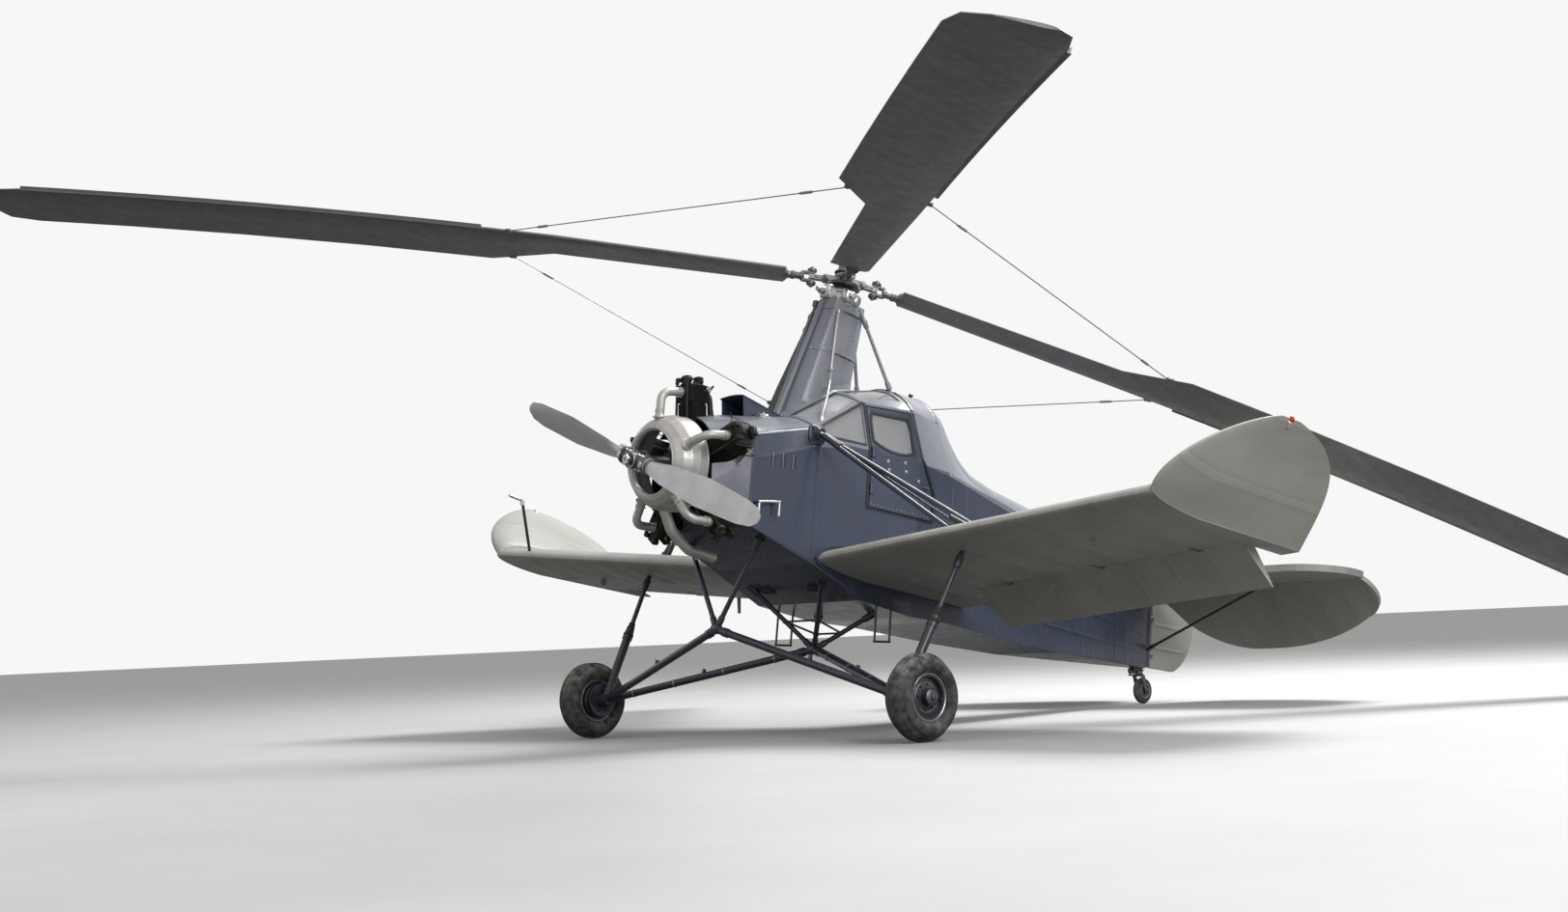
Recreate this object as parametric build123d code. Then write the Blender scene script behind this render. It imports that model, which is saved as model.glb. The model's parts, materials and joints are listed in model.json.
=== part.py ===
from build123d import *
import math
import os

# Cabin autogiro with a radial tractor engine, standing on its wheels.
# Everything is drawn in a level frame (nose to -Y, port wing to +X, up +Z) and then
# turned nose up by the park angle, which follows from the wheels.  Millimetres.

# Wheels and where their axles are in the level frame
TYRE_RADIUS = 275.0
TYRE_WIDTH = 200.0
RIM_RADIUS = 142.0
TRACK = 3332.0
AXLE_Y = -1172.0
AXLE_Z = 92.8
AXLE_RADIUS = 20.0
AXLE_STUB_GAP = 62.0
AXLE_BOSS_HALF = 38.0
AXLE_STUB_X = TRACK / 2 - TYRE_WIDTH / 2 - AXLE_STUB_GAP
TAILWHEEL_RADIUS = 105.0
TAILWHEEL_WIDTH = 62.0
TAILWHEEL_Y = 3154.0
TAILWHEEL_Z = 606.0
RUNNING_CLEARANCE = 0.05
MOVING_GAP = 8.0

# Rotor
HUB_Y = -503.0
HUB_Z = 3177.0
ROTOR_TILT = 7.5
ROTOR_RADIUS = 6120.0
FLAP_PIN_RADIUS = 130.0
DRAG_PIN_RADIUS = 235.0
BLADE_ROOT = 290.0
BLADE_SAG = 190.0
BLADE_SAG_START = 1500.0
# blade name, azimuth from port towards the tail, droop below the hub plane (degrees)
BLADES = [
    ("blade_front_port", -35.0, 7.5),
    ("blade_rear_port", 55.0, 8.5),
    ("blade_rear_starboard", 145.0, 6.3),
    ("blade_front_starboard", -129.0, 3.4),
]
# radius, leading edge, trailing edge, thickness
BLADE_STATIONS = [
    (430.0, 120.0, -165.0, 52.0),
    (2110.0, 160.0, -185.0, 54.0),
    (2570.0, 165.0, -422.0, 62.0),
    (3500.0, 165.0, -422.0, 61.0),
    (4400.0, 165.0, -422.0, 60.0),
    (5200.0, 165.0, -422.0, 58.0),
    (5860.0, 165.0, -422.0, 56.0),
    (6050.0, 135.0, -372.0, 38.0),
    (ROTOR_RADIUS, 60.0, -240.0, 20.0),
]

# Propeller and engine, measured along the shaft aft of the blade plane
PROP_Y = -2249.0
PROP_Z = 1540.0
SHAFT_TILT = 5.7
PROP_RADIUS = 1290.0
PROP_ANGLE = -21.6
COLLECTOR_FRONT = 115.0
COLLECTOR_REAR = 350.0
COLLECTOR_RADIUS = 322.0
COLLECTOR_OPENING = 210.0
COLLECTOR_WALL = 14.0
CYLINDER_PLANE = 475.0
CYLINDERS = 5
CASE_RADIUS = 205.0
BARREL_RADIUS = 72.0
FIN_RADIUS = 95.0
FIN_PITCH = 24.0
FIN_THICKNESS = 9.0
FINS = 7
HEAD_BASE = 425.0
HEAD_TOP = 548.0
ROCKER_TOP = 612.0
HEAD_WIDTH = 178.0
HEAD_LENGTH = 190.0
HEAD_CORNER = 46.0
PIPE_RADIUS = 29.0
OUTLET_RADIUS = 37.0

# Body stations: y, half width, bottom, sill, shoulder half width, shoulder, top
COWL_FRONT = (-1862.0, 315.0, 1290.0, 1450.0, 300.0, 1720.0, 1915.0)
FIREWALL = (-1600.0, 430.0, 1180.0, 1640.0, 400.0, 1800.0, 1968.0)
SCUTTLE = (-1085.0, 500.0, 1000.0, 1800.0, 440.0, 1930.0, 2060.0)
HOOP = (-635.0, 515.0, 815.0, 1860.0, 420.0, 2210.0, 2330.0)
REAR_FRAME = (-120.0, 505.0, 768.0, 1860.0, 400.0, 2250.0, 2450.0)
CABIN_END = (230.0, 477.0, 775.0, 1832.0, 330.0, 2230.0, 2455.0)
DECK_STATIONS = [
    CABIN_END,
    (340.0, 467.0, 772.0, 1818.0, 300.0, 2170.0, 2402.0),
    (480.0, 453.0, 767.0, 1800.0, 255.0, 2042.0, 2265.0),
    (620.0, 440.0, 761.0, 1782.0, 225.0, 1938.0, 2132.0),
    (800.0, 421.0, 755.0, 1758.0, 205.0, 1866.0, 2017.0),
    (1080.0, 393.0, 744.0, 1712.0, 190.0, 1808.0, 1937.0),
    (1700.0, 312.0, 737.0, 1600.0, 172.0, 1734.0, 1836.0),
    (3115.0, 48.0, 783.0, 1354.0, 34.0, 1446.0, 1526.0),
]
WALL = 28.0
COWL_WALL = 10.0
SILL_Z = 1860.0
GLASS_THICKNESS = 6.0
GLASS_INSET = 10.0
REAR_SILL_Z = 1830.0
REAR_SILL_SLOPE = 10.5

# Cabin doors, in the side view
DOOR_FRONT = -605.0
DOOR_BOTTOM = 1470.0
DOOR_REAR_GAP = 13.0
DOOR_HINGE_OFFSET = 12.0
HINGE_PIN_RADIUS = 7.0

# Cowl flap on the centre line, which stands open
FLAP_HINGE_Y = -1105.0
FLAP_LENGTH = 372.0
FLAP_HALF_WIDTH = 120.0
FLAP_OPEN_ANGLE = 22.6
FLAP_WALL = 8.0

# Wing: the leading edge starts on the body side
WING_ROOT_X = 500.0
WING_LE_Y = -1035.0
WING_LE_Z = 1045.0
WING_CHORD = 1500.0
WING_DIHEDRAL = 5.0
WING_INCIDENCE = 5.0
WING_KINK = 3250.0
WING_UPPER = 125.0
WING_LOWER = 62.0
TIP_ANGLE = 43.0
AILERON_INBOARD = 950.0
AILERON_OUTBOARD = 3120.0
AILERON_HINGE = 1115.0
AILERON_NOSE = 46.0
AILERON_LEFT_REST = 36.0
AILERON_RIGHT_REST = -22.0
# span along the tip, leading edge, trailing edge, upper height, lower height, edge thickness
TIP_STATIONS = [
    (0.0, 0.0, WING_CHORD, WING_UPPER, WING_LOWER, 10.0),
    (200.0, 0.0, 1425.0, 98.0, 46.0, 10.0),
    (400.0, 120.0, 1325.0, 70.0, 31.0, 10.0),
    (570.0, 310.0, 1135.0, 46.0, 20.0, 9.0),
    (670.0, 480.0, 890.0, 24.0, 11.0, 8.0),
    (706.0, 570.0, 740.0, 10.0, 5.0, 6.0),
]
# Wing struts: foot x, foot distance behind the leading edge, radius
STRUT_ANCHOR = (520.0, -1140.0, 1890.0)
WING_STRUTS = [(1560.0, 330.0, 17.0), (1640.0, 900.0, 17.0), (1500.0, 930.0, 7.0)]

# Undercarriage
FRONT_APEX = (0.0, -1453.0, 530.0)
REAR_APEX = (0.0, -546.0, 502.0)
FRONT_LEG_FEET = [(375.0, -1438.0, 1155.0)]
REAR_LEG_FEET = [(407.0, -890.0, 960.0), (320.0, -220.0, 820.0)]
GEAR_TUBE = 17.0
AXLE_STRUT_RADIUS = 26.0
OLEO_TOP = (AXLE_STUB_X + 90.0, -783.0, 1100.0)
OLEO_RADIUS = 32.0
OLEO_ROD_RADIUS = 17.0
OLEO_CASE_SHARE = 0.52

# Tail
STAB_Z = 1452.0
STAB_LE_Y = 2610.0
STAB_HINGE_Y = 3150.0
STAB_HALF_SPAN = 2060.0
STAB_THICKNESS = 52.0
ELEVATOR_REST = 38.0
ELEVATOR_ROOT_X = 100.0
RUDDER_HINGE_Y = 3232.0
FIN_THICKNESS_TAIL = 46.0
RUDDER_TOP = 1850.0
RUDDER_BOTTOM = 800.0

# Tie-down and hoist bores
LUG_BORE = 12.0
LUG_THICKNESS = 16.0
LUG_RADIUS = 26.0

NODES = {}


def wheel_tangent_angle():
    """Nose-up angle at which both wheels touch the ground."""
    run = TAILWHEEL_Y - AXLE_Y
    rise = TAILWHEEL_Z - AXLE_Z
    reach = math.hypot(run, rise)
    return math.degrees(math.atan2(rise, run) + math.asin((TYRE_RADIUS - TAILWHEEL_RADIUS) / reach))


PARK_ANGLE = wheel_tangent_angle()
TURN = Rot(X=-PARK_ANGLE)


def after_turn(point):
    """A level point after the nose-up turn, before the shift to the ground."""
    spot = (TURN * Pos(*point)).position
    return spot.X, spot.Y, spot.Z


def blade_turn(azimuth, droop):
    """Turn of a blade about the hub and down about its flapping pin, from a blade along +X."""
    return Rot(Z=azimuth) * Pos(FLAP_PIN_RADIUS, 0, 0) * Rot(Y=droop) * Pos(-FLAP_PIN_RADIUS, 0, 0)


def blade_sag(radius):
    """How far a parked blade bends below its straight line, growing with the square."""
    share = max(0.0, radius - BLADE_SAG_START) / (ROTOR_RADIUS - BLADE_SAG_START)
    return -BLADE_SAG * share ** 2


def middle_of_blades():
    """Fore and aft middle of all the blades, after the nose-up turn."""
    reach = []
    for name, azimuth, droop in BLADES:
        for radius, front, rear, thick in BLADE_STATIONS:
            for edge in (front, rear):
                spot = TURN * ROTOR * blade_turn(azimuth, droop) * Pos(radius, edge, blade_sag(radius))
                reach.append(spot.position.Y)
    return (min(reach) + max(reach)) / 2


ENGINE = Pos(0, PROP_Y, PROP_Z) * Rot(X=SHAFT_TILT)
ROTOR = Pos(0, HUB_Y, HUB_Z) * Rot(X=-ROTOR_TILT)
GROUND_LIFT = TYRE_RADIUS - after_turn((0, AXLE_Y, AXLE_Z))[2]
CENTRE_SHIFT = -middle_of_blades()
PARK = Pos(0, CENTRE_SHIFT, GROUND_LIFT) * TURN


def node(name, shape):
    """Keep a finished piece, turned to the park attitude."""
    NODES[name] = PARK * shape


def pair(name, shape):
    """Keep a port piece and its mirror image."""
    node(name + "_left", shape)
    node(name + "_right", mirror(shape, about=Plane.YZ))


def both(name, shape):
    """Keep a port piece and its mirror image as one node."""
    node(name, shape + mirror(shape, about=Plane.YZ))


def tube(start, end, radius):
    """Round bar between two points."""
    a, b = Vector(*start), Vector(*end)
    along = b - a
    return Plane(origin=a, z_dir=along) * extrude(Circle(radius), along.length)


def ball(spot, radius):
    return Pos(*spot) * Sphere(radius)


def disc(spot, direction, radius, length):
    """Cylinder that starts at a spot and runs along a direction."""
    return Plane(origin=spot, z_dir=direction) * extrude(Circle(radius), length)


def side_plane(x=0.0):
    """Sketch plane of the side view: local x is aft, local y is up."""
    return Plane(origin=(x, 0, 0), x_dir=(0, 1, 0), z_dir=(1, 0, 0))


def side_prism(points, x_from, x_to):
    """Solid with a side view of straight lines."""
    face = side_plane(x_from) * make_face(Polyline(*points, close=True))
    return extrude(face, x_to - x_from, dir=(1, 0, 0))


def lug(spot, direction, axis):
    """Flat eye with a through bore: a plate along direction, bored along axis."""
    a, d = Vector(*axis).normalized(), Vector(*direction).normalized()
    origin = Vector(*spot) - a * (LUG_THICKNESS / 2)
    plane = Plane(origin=origin, x_dir=d, z_dir=a)
    plate = extrude(Circle(LUG_RADIUS), LUG_THICKNESS)
    plate += extrude(Pos(-LUG_RADIUS, 0) * Rectangle(2 * LUG_RADIUS, 1.5 * LUG_RADIUS), LUG_THICKNESS)
    plate -= extrude(Circle(LUG_BORE / 2), LUG_THICKNESS)
    return plane * plate


def hull_section(station, inset=0.0):
    """Cross-section of the body: flat bottom and sides, leaning shoulders, arched top."""
    y, half, bottom, sill, shoulder_half, shoulder, top = station
    half, shoulder_half = half - inset, shoulder_half - inset
    bottom, shoulder, top = bottom + inset, shoulder - 0.3 * inset, top - inset
    sides = Polyline((shoulder_half, shoulder), (half, sill), (half, bottom),
                     (-half, bottom), (-half, sill), (-shoulder_half, shoulder))
    crown = ThreePointArc((-shoulder_half, shoulder), (0, top), (shoulder_half, shoulder))
    plane = Plane(origin=(0, y, 0), x_dir=(1, 0, 0), z_dir=(0, -1, 0))
    return plane * make_face(sides + crown)


def hull(stations, inset=0.0):
    """Body between stations, with straight lines from one to the next."""
    return loft([hull_section(station, inset) for station in stations], ruled=True)


def blend_station(first, second, share):
    return tuple(a + (b - a) * share for a, b in zip(first, second))


CABIN_STATIONS = [FIREWALL, SCUTTLE, HOOP, REAR_FRAME, CABIN_END]
CABIN_BODY = hull(CABIN_STATIONS)
DECK_BODY = hull(DECK_STATIONS)


def region(x0, x1, y0, y1, z0, z1):
    """Plain box between limits."""
    return Pos((x0 + x1) / 2, (y0 + y1) / 2, (z0 + z1) / 2) * Box(x1 - x0, y1 - y0, z1 - z0)


def cabin_shell(outer_inset, inner_inset):
    """Wall of the cabin between two insets, open at neither end."""
    inner_ends = [blend_station(FIREWALL, SCUTTLE, inner_inset / (SCUTTLE[0] - FIREWALL[0]))]
    inner_ends += CABIN_STATIONS[1:-1]
    inner_ends += [blend_station(CABIN_END, REAR_FRAME, inner_inset / (CABIN_END[0] - REAR_FRAME[0]))]
    outer = CABIN_BODY if outer_inset == 0 else hull(CABIN_STATIONS, outer_inset)
    return outer - hull(inner_ends, inner_inset)


def canopy_zone():
    """Everything above the sill, from the scuttle to the end of the cabin."""
    return region(-700, 700, SCUTTLE[0], CABIN_END[0], SILL_Z, 2700)


def door_outline(gap=0.0, rear_gap=0.0):
    """Side view of a cabin door: upright front edge, leaning rear edge."""
    return [(DOOR_FRONT - gap, DOOR_BOTTOM - gap), (30 + rear_gap, DOOR_BOTTOM - gap),
            (30 + rear_gap, 1660), (-105 + rear_gap, 1900), (-150 + rear_gap, 2222 + gap),
            (DOOR_FRONT - gap, 2186 + gap)]


def door_window(grow=0.0):
    """Window of a door: straight top and sides with a curved lower edge."""
    front, rear, top = -572 - grow, -172 + grow, 2165 + grow
    line = Polyline((rear, 1925 - grow), (rear, top), (front, top - 20), (front, 1945 - grow))
    sweep = ThreePointArc((front, 1945 - grow), ((front + rear) / 2, 1892 - grow), (rear, 1925 - grow))
    return extrude(side_plane(350) * make_face(line + sweep), 300, dir=(1, 0, 0))


def flap_zone(grow=0.0):
    """The hole that the cowl flap closes."""
    return region(-FLAP_HALF_WIDTH - grow, FLAP_HALF_WIDTH + grow,
                  FLAP_HINGE_Y - FLAP_LENGTH - grow, FLAP_HINGE_Y + grow, 1930, 2200)


def deck_height(y):
    """Height of the body's crown between the firewall and the scuttle."""
    share = (y - FIREWALL[0]) / (SCUTTLE[0] - FIREWALL[0])
    return FIREWALL[6] + (SCUTTLE[6] - FIREWALL[6]) * share


def make_cabin():
    """Tub, canopy frame, glass and doors, all cut from one wall."""
    wall = cabin_shell(0.0, WALL)
    doors = {}
    for side in (1, -1):
        cut = side_prism(door_outline(MOVING_GAP, DOOR_REAR_GAP), 330, 620)
        doors[side] = cut if side > 0 else mirror(cut, about=Plane.YZ)
    canopy = wall & canopy_zone()
    tub = wall - canopy_zone()
    for cut in doors.values():
        canopy -= cut
        tub -= cut
    tub -= flap_zone(6.0)
    node("cabin_tub", tub)

    # windscreen panes either side of the pylon, and a pane in the roof
    screen = region(150, 600, SCUTTLE[0] + 28, HOOP[0] - 18, SILL_Z + 30, 2600)
    roof = region(60, 330, HOOP[0] + 35, REAR_FRAME[0] - 60, 2240, 2700)
    panes = cabin_shell(GLASS_INSET, GLASS_INSET + GLASS_THICKNESS)
    for zone in (screen, roof):
        canopy -= zone
        canopy -= mirror(zone, about=Plane.YZ)
    node("canopy_frame", canopy)
    both("windscreen", panes & screen)
    both("roof_panes", panes & roof)

    panel = wall & side_prism(door_outline(), 330, 620)
    panel -= door_window()
    glass = panes & door_window() & side_prism(door_outline(), 330, 620)
    hinges = Part()
    for z in (1560.0, 1820.0):
        spot = (door_hinge_x(), DOOR_FRONT - MOVING_GAP / 2, z)
        hinges += disc(spot, (0, 0, 1), HINGE_PIN_RADIUS, 70)
        hinges += region(517, door_hinge_x(), DOOR_FRONT - 6, DOOR_FRONT + 40, z, z + 70)
        hinges += region(500, 518, DOOR_FRONT + 4, DOOR_FRONT + 40, z, z + 70)
    handle = tube((518, -75, 1690), (518, -20, 1690), 6) + tube((480, -28, 1690), (518, -28, 1690), 6)
    pair("cabin_door", panel + hinges + handle)
    pair("door_glass", glass)


def door_hinge_x():
    return HOOP[1] + DOOR_HINGE_OFFSET


def make_cowl_flap():
    """Flap cut from the deck, with two cheeks, swung open about its rear edge."""
    skin = CABIN_BODY - hull(CABIN_STATIONS, FLAP_WALL)
    flap = skin & flap_zone()
    front = FLAP_HINGE_Y - FLAP_LENGTH
    depth = FLAP_LENGTH * math.tan(math.radians(FLAP_OPEN_ANGLE))
    for side in (-1, 1):
        x = side * (FLAP_HALF_WIDTH - 8)
        cheek = side_prism([(FLAP_HINGE_Y - 25, FLAP_PIVOT_Z - 20), (front + 8, deck_height(front) - 12),
                            (front + 76, FLAP_PIVOT_Z - depth - 42)], x - 3, x + 3)
        flap += cheek
    hinge = tube((-FLAP_HALF_WIDTH, FLAP_HINGE_Y, FLAP_PIVOT_Z), (FLAP_HALF_WIDTH, FLAP_HINGE_Y, FLAP_PIVOT_Z), 5)
    pivot = Pos(0, FLAP_HINGE_Y, FLAP_PIVOT_Z)
    node("cowl_flap", pivot * Rot(X=-FLAP_OPEN_ANGLE) * pivot.inverse() * (flap + hinge))


FLAP_PIVOT_Z = deck_height(FLAP_HINGE_Y) - 4


def make_rear_body():
    """Fabric-covered rear body below and the rounded deck above it."""
    split = Pos(0, CABIN_END[0], REAR_SILL_Z) * Rot(X=-REAR_SILL_SLOPE)
    above = split * Pos(0, 2000, 1500) * Box(2000, 6000, 3000)
    node("turtledeck", DECK_BODY & above)
    node("rear_body", (DECK_BODY - above) + stern_post())


def stern_post():
    """Post behind the rear body that the rudder hangs on."""
    return region(-20, 20, DECK_STATIONS[-1][0], RUDDER_HINGE_Y - 31, 800, 1405)


def cylinder_angles():
    return [90.0 + 360.0 * k / CYLINDERS for k in range(CYLINDERS)]


def make_engine_cowl():
    """Sheet-metal cowl behind the collector, cut where the cylinders stand out."""
    stations = [COWL_FRONT, FIREWALL]
    shell = hull(stations)
    inner = [blend_station(COWL_FRONT, FIREWALL, -0.2), blend_station(COWL_FRONT, FIREWALL, 1.2)]
    shell -= hull(inner, COWL_WALL)
    for angle in cylinder_angles():
        hole = Rot(Y=90 - angle) * Pos(0, CYLINDER_PLANE, CASE_RADIUS) * Cylinder(FIN_RADIUS + 14, 700)
        slot = Rot(Y=90 - angle) * region(-FIN_RADIUS - 14, FIN_RADIUS + 14, CYLINDER_PLANE - 300,
                                          CYLINDER_PLANE, CASE_RADIUS, 800)
        shell -= ENGINE * hole
        shell -= ENGINE * slot
    node("engine_cowl", shell)


def revolve_about_shaft(points):
    """Turn a profile of radius and distance about the shaft."""
    face = Plane.XY * make_face(Polyline(*points, close=True))
    return revolve(face, axis=Axis.Y)


def make_engine():
    """Crankcase, finned cylinders with rocker boxes and push rods, and the collector."""
    case = revolve_about_shaft([(0, 62), (34, 62), (48, 250), (95, 330), (150, 370),
                                (CASE_RADIUS, 395), (CASE_RADIUS, 560), (150, 590), (150, 690), (0, 690)])
    node("crankcase", ENGINE * case - CABIN_BODY)
    jugs = all_cylinders() - case
    node("cylinders", ENGINE * jugs)


def all_cylinders():
    jugs = Part()
    for angle in cylinder_angles():
        jugs += Rot(Y=90 - angle) * Pos(0, CYLINDER_PLANE, 0) * one_cylinder()
    return jugs


def one_cylinder():
    """Cylinder standing along +Z from the crankcase, drawn at the shaft line."""
    base = math.sqrt(CASE_RADIUS ** 2 - BARREL_RADIUS ** 2) + 9
    body = Pos(0, 0, base) * extrude(Circle(BARREL_RADIUS), HEAD_BASE - base)
    for k in range(FINS):
        fin = RegularPolygon(FIN_RADIUS, 16)
        body += Pos(0, 0, base + 34 + FIN_PITCH * k) * extrude(fin, FIN_THICKNESS)
    body += head_block(0)
    for z in (HEAD_BASE + 24, HEAD_BASE + 62):
        groove = extrude(Rectangle(2 * HEAD_WIDTH, 2 * HEAD_LENGTH) - head_outline(14), 14)
        body -= Pos(0, 0, z) * groove
    for y in (-50, 50):
        body += Pos(0, y, HEAD_TOP - 2) * extrude(chamfered(78, 60, 16), ROCKER_TOP - HEAD_TOP + 2)
    for x in (-52, 52):
        body += tube((x * 1.1, -98, 150), (x, -88, ROCKER_TOP - 30), 9)
        body += Pos(x * 0.85, -68, ROCKER_TOP - 34) * Box(44, 50, 26)
    return body


def chamfered(width, length, corner):
    """Rectangle with its corners cut off."""
    w, d = width / 2, length / 2
    return make_face(Polyline((w, d - corner), (w - corner, d), (corner - w, d), (-w, d - corner),
                              (-w, corner - d), (corner - w, -d), (w - corner, -d), (w, corner - d),
                              close=True))


def head_outline(inset):
    return chamfered(HEAD_WIDTH - 2 * inset, HEAD_LENGTH - 2 * inset, HEAD_CORNER)


def head_block(inset):
    """Cylinder head without its cooling grooves."""
    return Pos(0, 0, HEAD_BASE) * extrude(head_outline(inset), HEAD_TOP - HEAD_BASE)


def make_collector():
    """Pale ring in front of the engine, a pipe to each cylinder and the outlet below."""
    inner, outer, front, rear = COLLECTOR_OPENING, COLLECTOR_RADIUS, COLLECTOR_FRONT, COLLECTOR_REAR
    wall = COLLECTOR_WALL
    lip = [(inner, front + 35), (inner + 4, front + 12), (inner + 18, front), (inner + 42, front + 8),
           (outer - 34, front + 48), (outer - 8, front + 105), (outer, front + 160), (outer - 6, rear),
           (outer - 6 - wall, rear), (outer - wall, front + 165), (outer - 48, front + 65),
           (inner + 24, front + 42)]
    ring = revolve_about_shaft(lip)
    for angle in cylinder_angles():
        pipe = bent_pipe([(0, front + 75, outer - 30), (0, front + 95, HEAD_BASE + 55),
                          (0, CYLINDER_PLANE - 60, HEAD_BASE + 72)], PIPE_RADIUS, 80)
        pipe -= Pos(0, CYLINDER_PLANE, 0) * head_block(0)
        ring += Rot(Y=90 - angle) * pipe
    outlet = bent_pipe(OUTLET_PATH, OUTLET_RADIUS, 90)
    outlet -= bent_pipe(OUTLET_PATH[-2:], OUTLET_RADIUS - 4, 0)
    ring += outlet
    node("exhaust_collector", ENGINE * ring)


# Outlet pipe, from the ring down and aft under the nose, in the engine's own frame
OUTLET_PATH = [(-40, 262, -286), (-40, 330, -440), (-40, 480, -560), (-40, 700, -600)]


def bent_pipe(points, radius, bend):
    """Round pipe along corner points with one bend radius."""
    if len(points) == 2:
        return tube(points[0], points[1], radius)
    path = FilletPolyline(*points, radius=bend)
    return sweep(Plane(origin=path @ 0, z_dir=path % 0) * Circle(radius), path)


def airfoil(chord_from, chord_to, upper, lower, edge):
    """Wing section: elliptic nose, arched back, flat belly, blunt edge."""
    peak = chord_from + 0.3 * (chord_to - chord_from)
    nose = peak - chord_from
    half_edge = edge / 2
    top = EllipticalCenterArc((peak, 0), nose, upper, start_angle=90, arc_size=90)
    under = EllipticalCenterArc((peak, 0), nose, lower, start_angle=180, arc_size=90)
    middle = (peak + chord_to) / 2
    back = ThreePointArc((peak, upper), (middle, half_edge + 0.72 * (upper - half_edge)),
                         (chord_to, half_edge))
    tail = Line((chord_to, half_edge), (chord_to, -half_edge))
    belly = Line((chord_to, -half_edge), (peak, -lower))
    return make_face(top + back + tail + belly + under)


def wing_direction(tip=False):
    angle = math.radians(WING_DIHEDRAL + (TIP_ANGLE if tip else 0))
    return Vector(math.cos(angle), 0, math.sin(angle))


def wing_chord_direction():
    angle = math.radians(WING_INCIDENCE)
    return Vector(0, math.cos(angle), -math.sin(angle))


def leading_edge(x):
    """Point of the straight leading edge at a distance from the centre plane."""
    rise = (x - WING_ROOT_X) * math.tan(math.radians(WING_DIHEDRAL))
    return Vector(x, WING_LE_Y, WING_LE_Z + rise)


def wing_point(x, back, up=0.0):
    """Point behind the leading edge along the chord, and above the chord line."""
    normal = wing_direction().cross(wing_chord_direction())
    return leading_edge(x) + wing_chord_direction() * back + normal * up


def wing_plane(x):
    return Plane(origin=leading_edge(x), x_dir=wing_chord_direction(), z_dir=wing_direction())


def aileron_turn(angle):
    """Turn about the aileron hinge, trailing edge down for a positive angle."""
    hinge = wing_point(AILERON_INBOARD, AILERON_HINGE)
    frame = Location(Plane(origin=hinge, x_dir=wing_chord_direction(), z_dir=wing_direction()))
    return frame * Rot(Z=-angle) * frame.inverse()


def make_wing():
    """Wing panel, aileron and upturned tip of the port side, and their mirror images."""
    section = airfoil(0, WING_CHORD, WING_UPPER, WING_LOWER, 10)
    inner = WING_ROOT_X - 140
    reach = (WING_KINK - inner) / math.cos(math.radians(WING_DIHEDRAL))
    whole = wing_plane(inner) * extrude(section, reach)
    whole -= CABIN_BODY
    whole -= DECK_BODY
    start = (AILERON_INBOARD - inner) / math.cos(math.radians(WING_DIHEDRAL))
    bay_edge = AILERON_HINGE - AILERON_NOSE - MOVING_GAP
    span = (AILERON_OUTBOARD - AILERON_INBOARD) / math.cos(math.radians(WING_DIHEDRAL))
    bay = extrude(Pos(bay_edge + 600, 0) * Rectangle(1200, 600), span)
    panel = whole - wing_plane(inner) * Pos(0, 0, start) * bay
    blade = extrude(Pos(AILERON_HINGE + 600, 0) * Rectangle(1200, 600), span - 2 * MOVING_GAP)
    aileron = whole & (wing_plane(inner) * Pos(0, 0, start + MOVING_GAP) * blade)
    nose = extrude(Pos(AILERON_HINGE, AILERON_HINGE_UP) * Circle(AILERON_NOSE - 6), span - 2 * MOVING_GAP)
    aileron += wing_plane(inner) * Pos(0, 0, start + MOVING_GAP) * nose
    panel += lug(tuple(wing_point(2450, 480, -WING_LOWER - 22)), tuple(wing_direction().cross(wing_chord_direction()) * -1),
                 (1, 0, 0))
    pair("wing", panel)
    node("aileron_left", aileron_turn(AILERON_LEFT_REST) * aileron)
    node("aileron_right", mirror(aileron_turn(AILERON_RIGHT_REST) * aileron, about=Plane.YZ))
    pair("wing_tip", wing_tip())


AILERON_HINGE_UP = 16.0


def wing_tip():
    """Upturned rounded tip: sections along a line that leans up from the kink."""
    sections = []
    start = leading_edge(WING_KINK)
    for span, front, rear, upper, lower, edge in TIP_STATIONS:
        direction = wing_direction(tip=span > 0)
        origin = start + wing_direction(tip=True) * span
        plane = Plane(origin=origin, x_dir=wing_chord_direction(), z_dir=direction)
        sections.append(plane * airfoil(front, rear, upper, lower, edge))
    return loft(sections)


def make_wing_struts():
    """Two streamlined struts and a wire from the shoulder fitting to the wing."""
    body = ball(STRUT_ANCHOR, 30)
    for x, back, radius in WING_STRUTS:
        body += tube(STRUT_ANCHOR, tuple(wing_point(x, back, 20)), radius)
    section = airfoil(0, WING_CHORD, WING_UPPER, WING_LOWER, 10)
    body -= CABIN_BODY
    body -= wing_plane(WING_ROOT_X) * extrude(section, 2000)
    pair("wing_struts", body)


def make_pylon():
    """Streamlined pylon fairing on the cowl and roof, its legs and the mast head."""
    # height, leading edge, trailing edge, half thickness
    stations = [(2050.0, -1035.0, -300.0, 135.0), (2380.0, -915.0, -385.0, 118.0),
                (3020.0, -672.0, -285.0, 88.0)]
    sections = []
    for height, front, rear, half in stations:
        plane = Plane(origin=(0, 0, height), x_dir=(0, 1, 0), z_dir=(0, 0, 1))
        sections.append(plane * airfoil(front, rear, half, half, 24))
    fairing = loft(sections, ruled=True)
    for body in (CABIN_BODY, mast_head()):
        fairing -= body
    legs = tube((0, -1068, 2055), (0, -700, 2990), 20)
    legs += tube((-60, -700, 2990), (-6, -1090, 2048), 8)
    for x in (-180, 180):
        legs += tube((x, -110, 2380), (x * 0.22, -360, 3000), 13)
    for body in (CABIN_BODY, fairing, mast_head()):
        legs -= body
    node("pylon_fairing", fairing)
    node("pylon_legs", legs)
    node("mast_head", mast_head())


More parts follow.
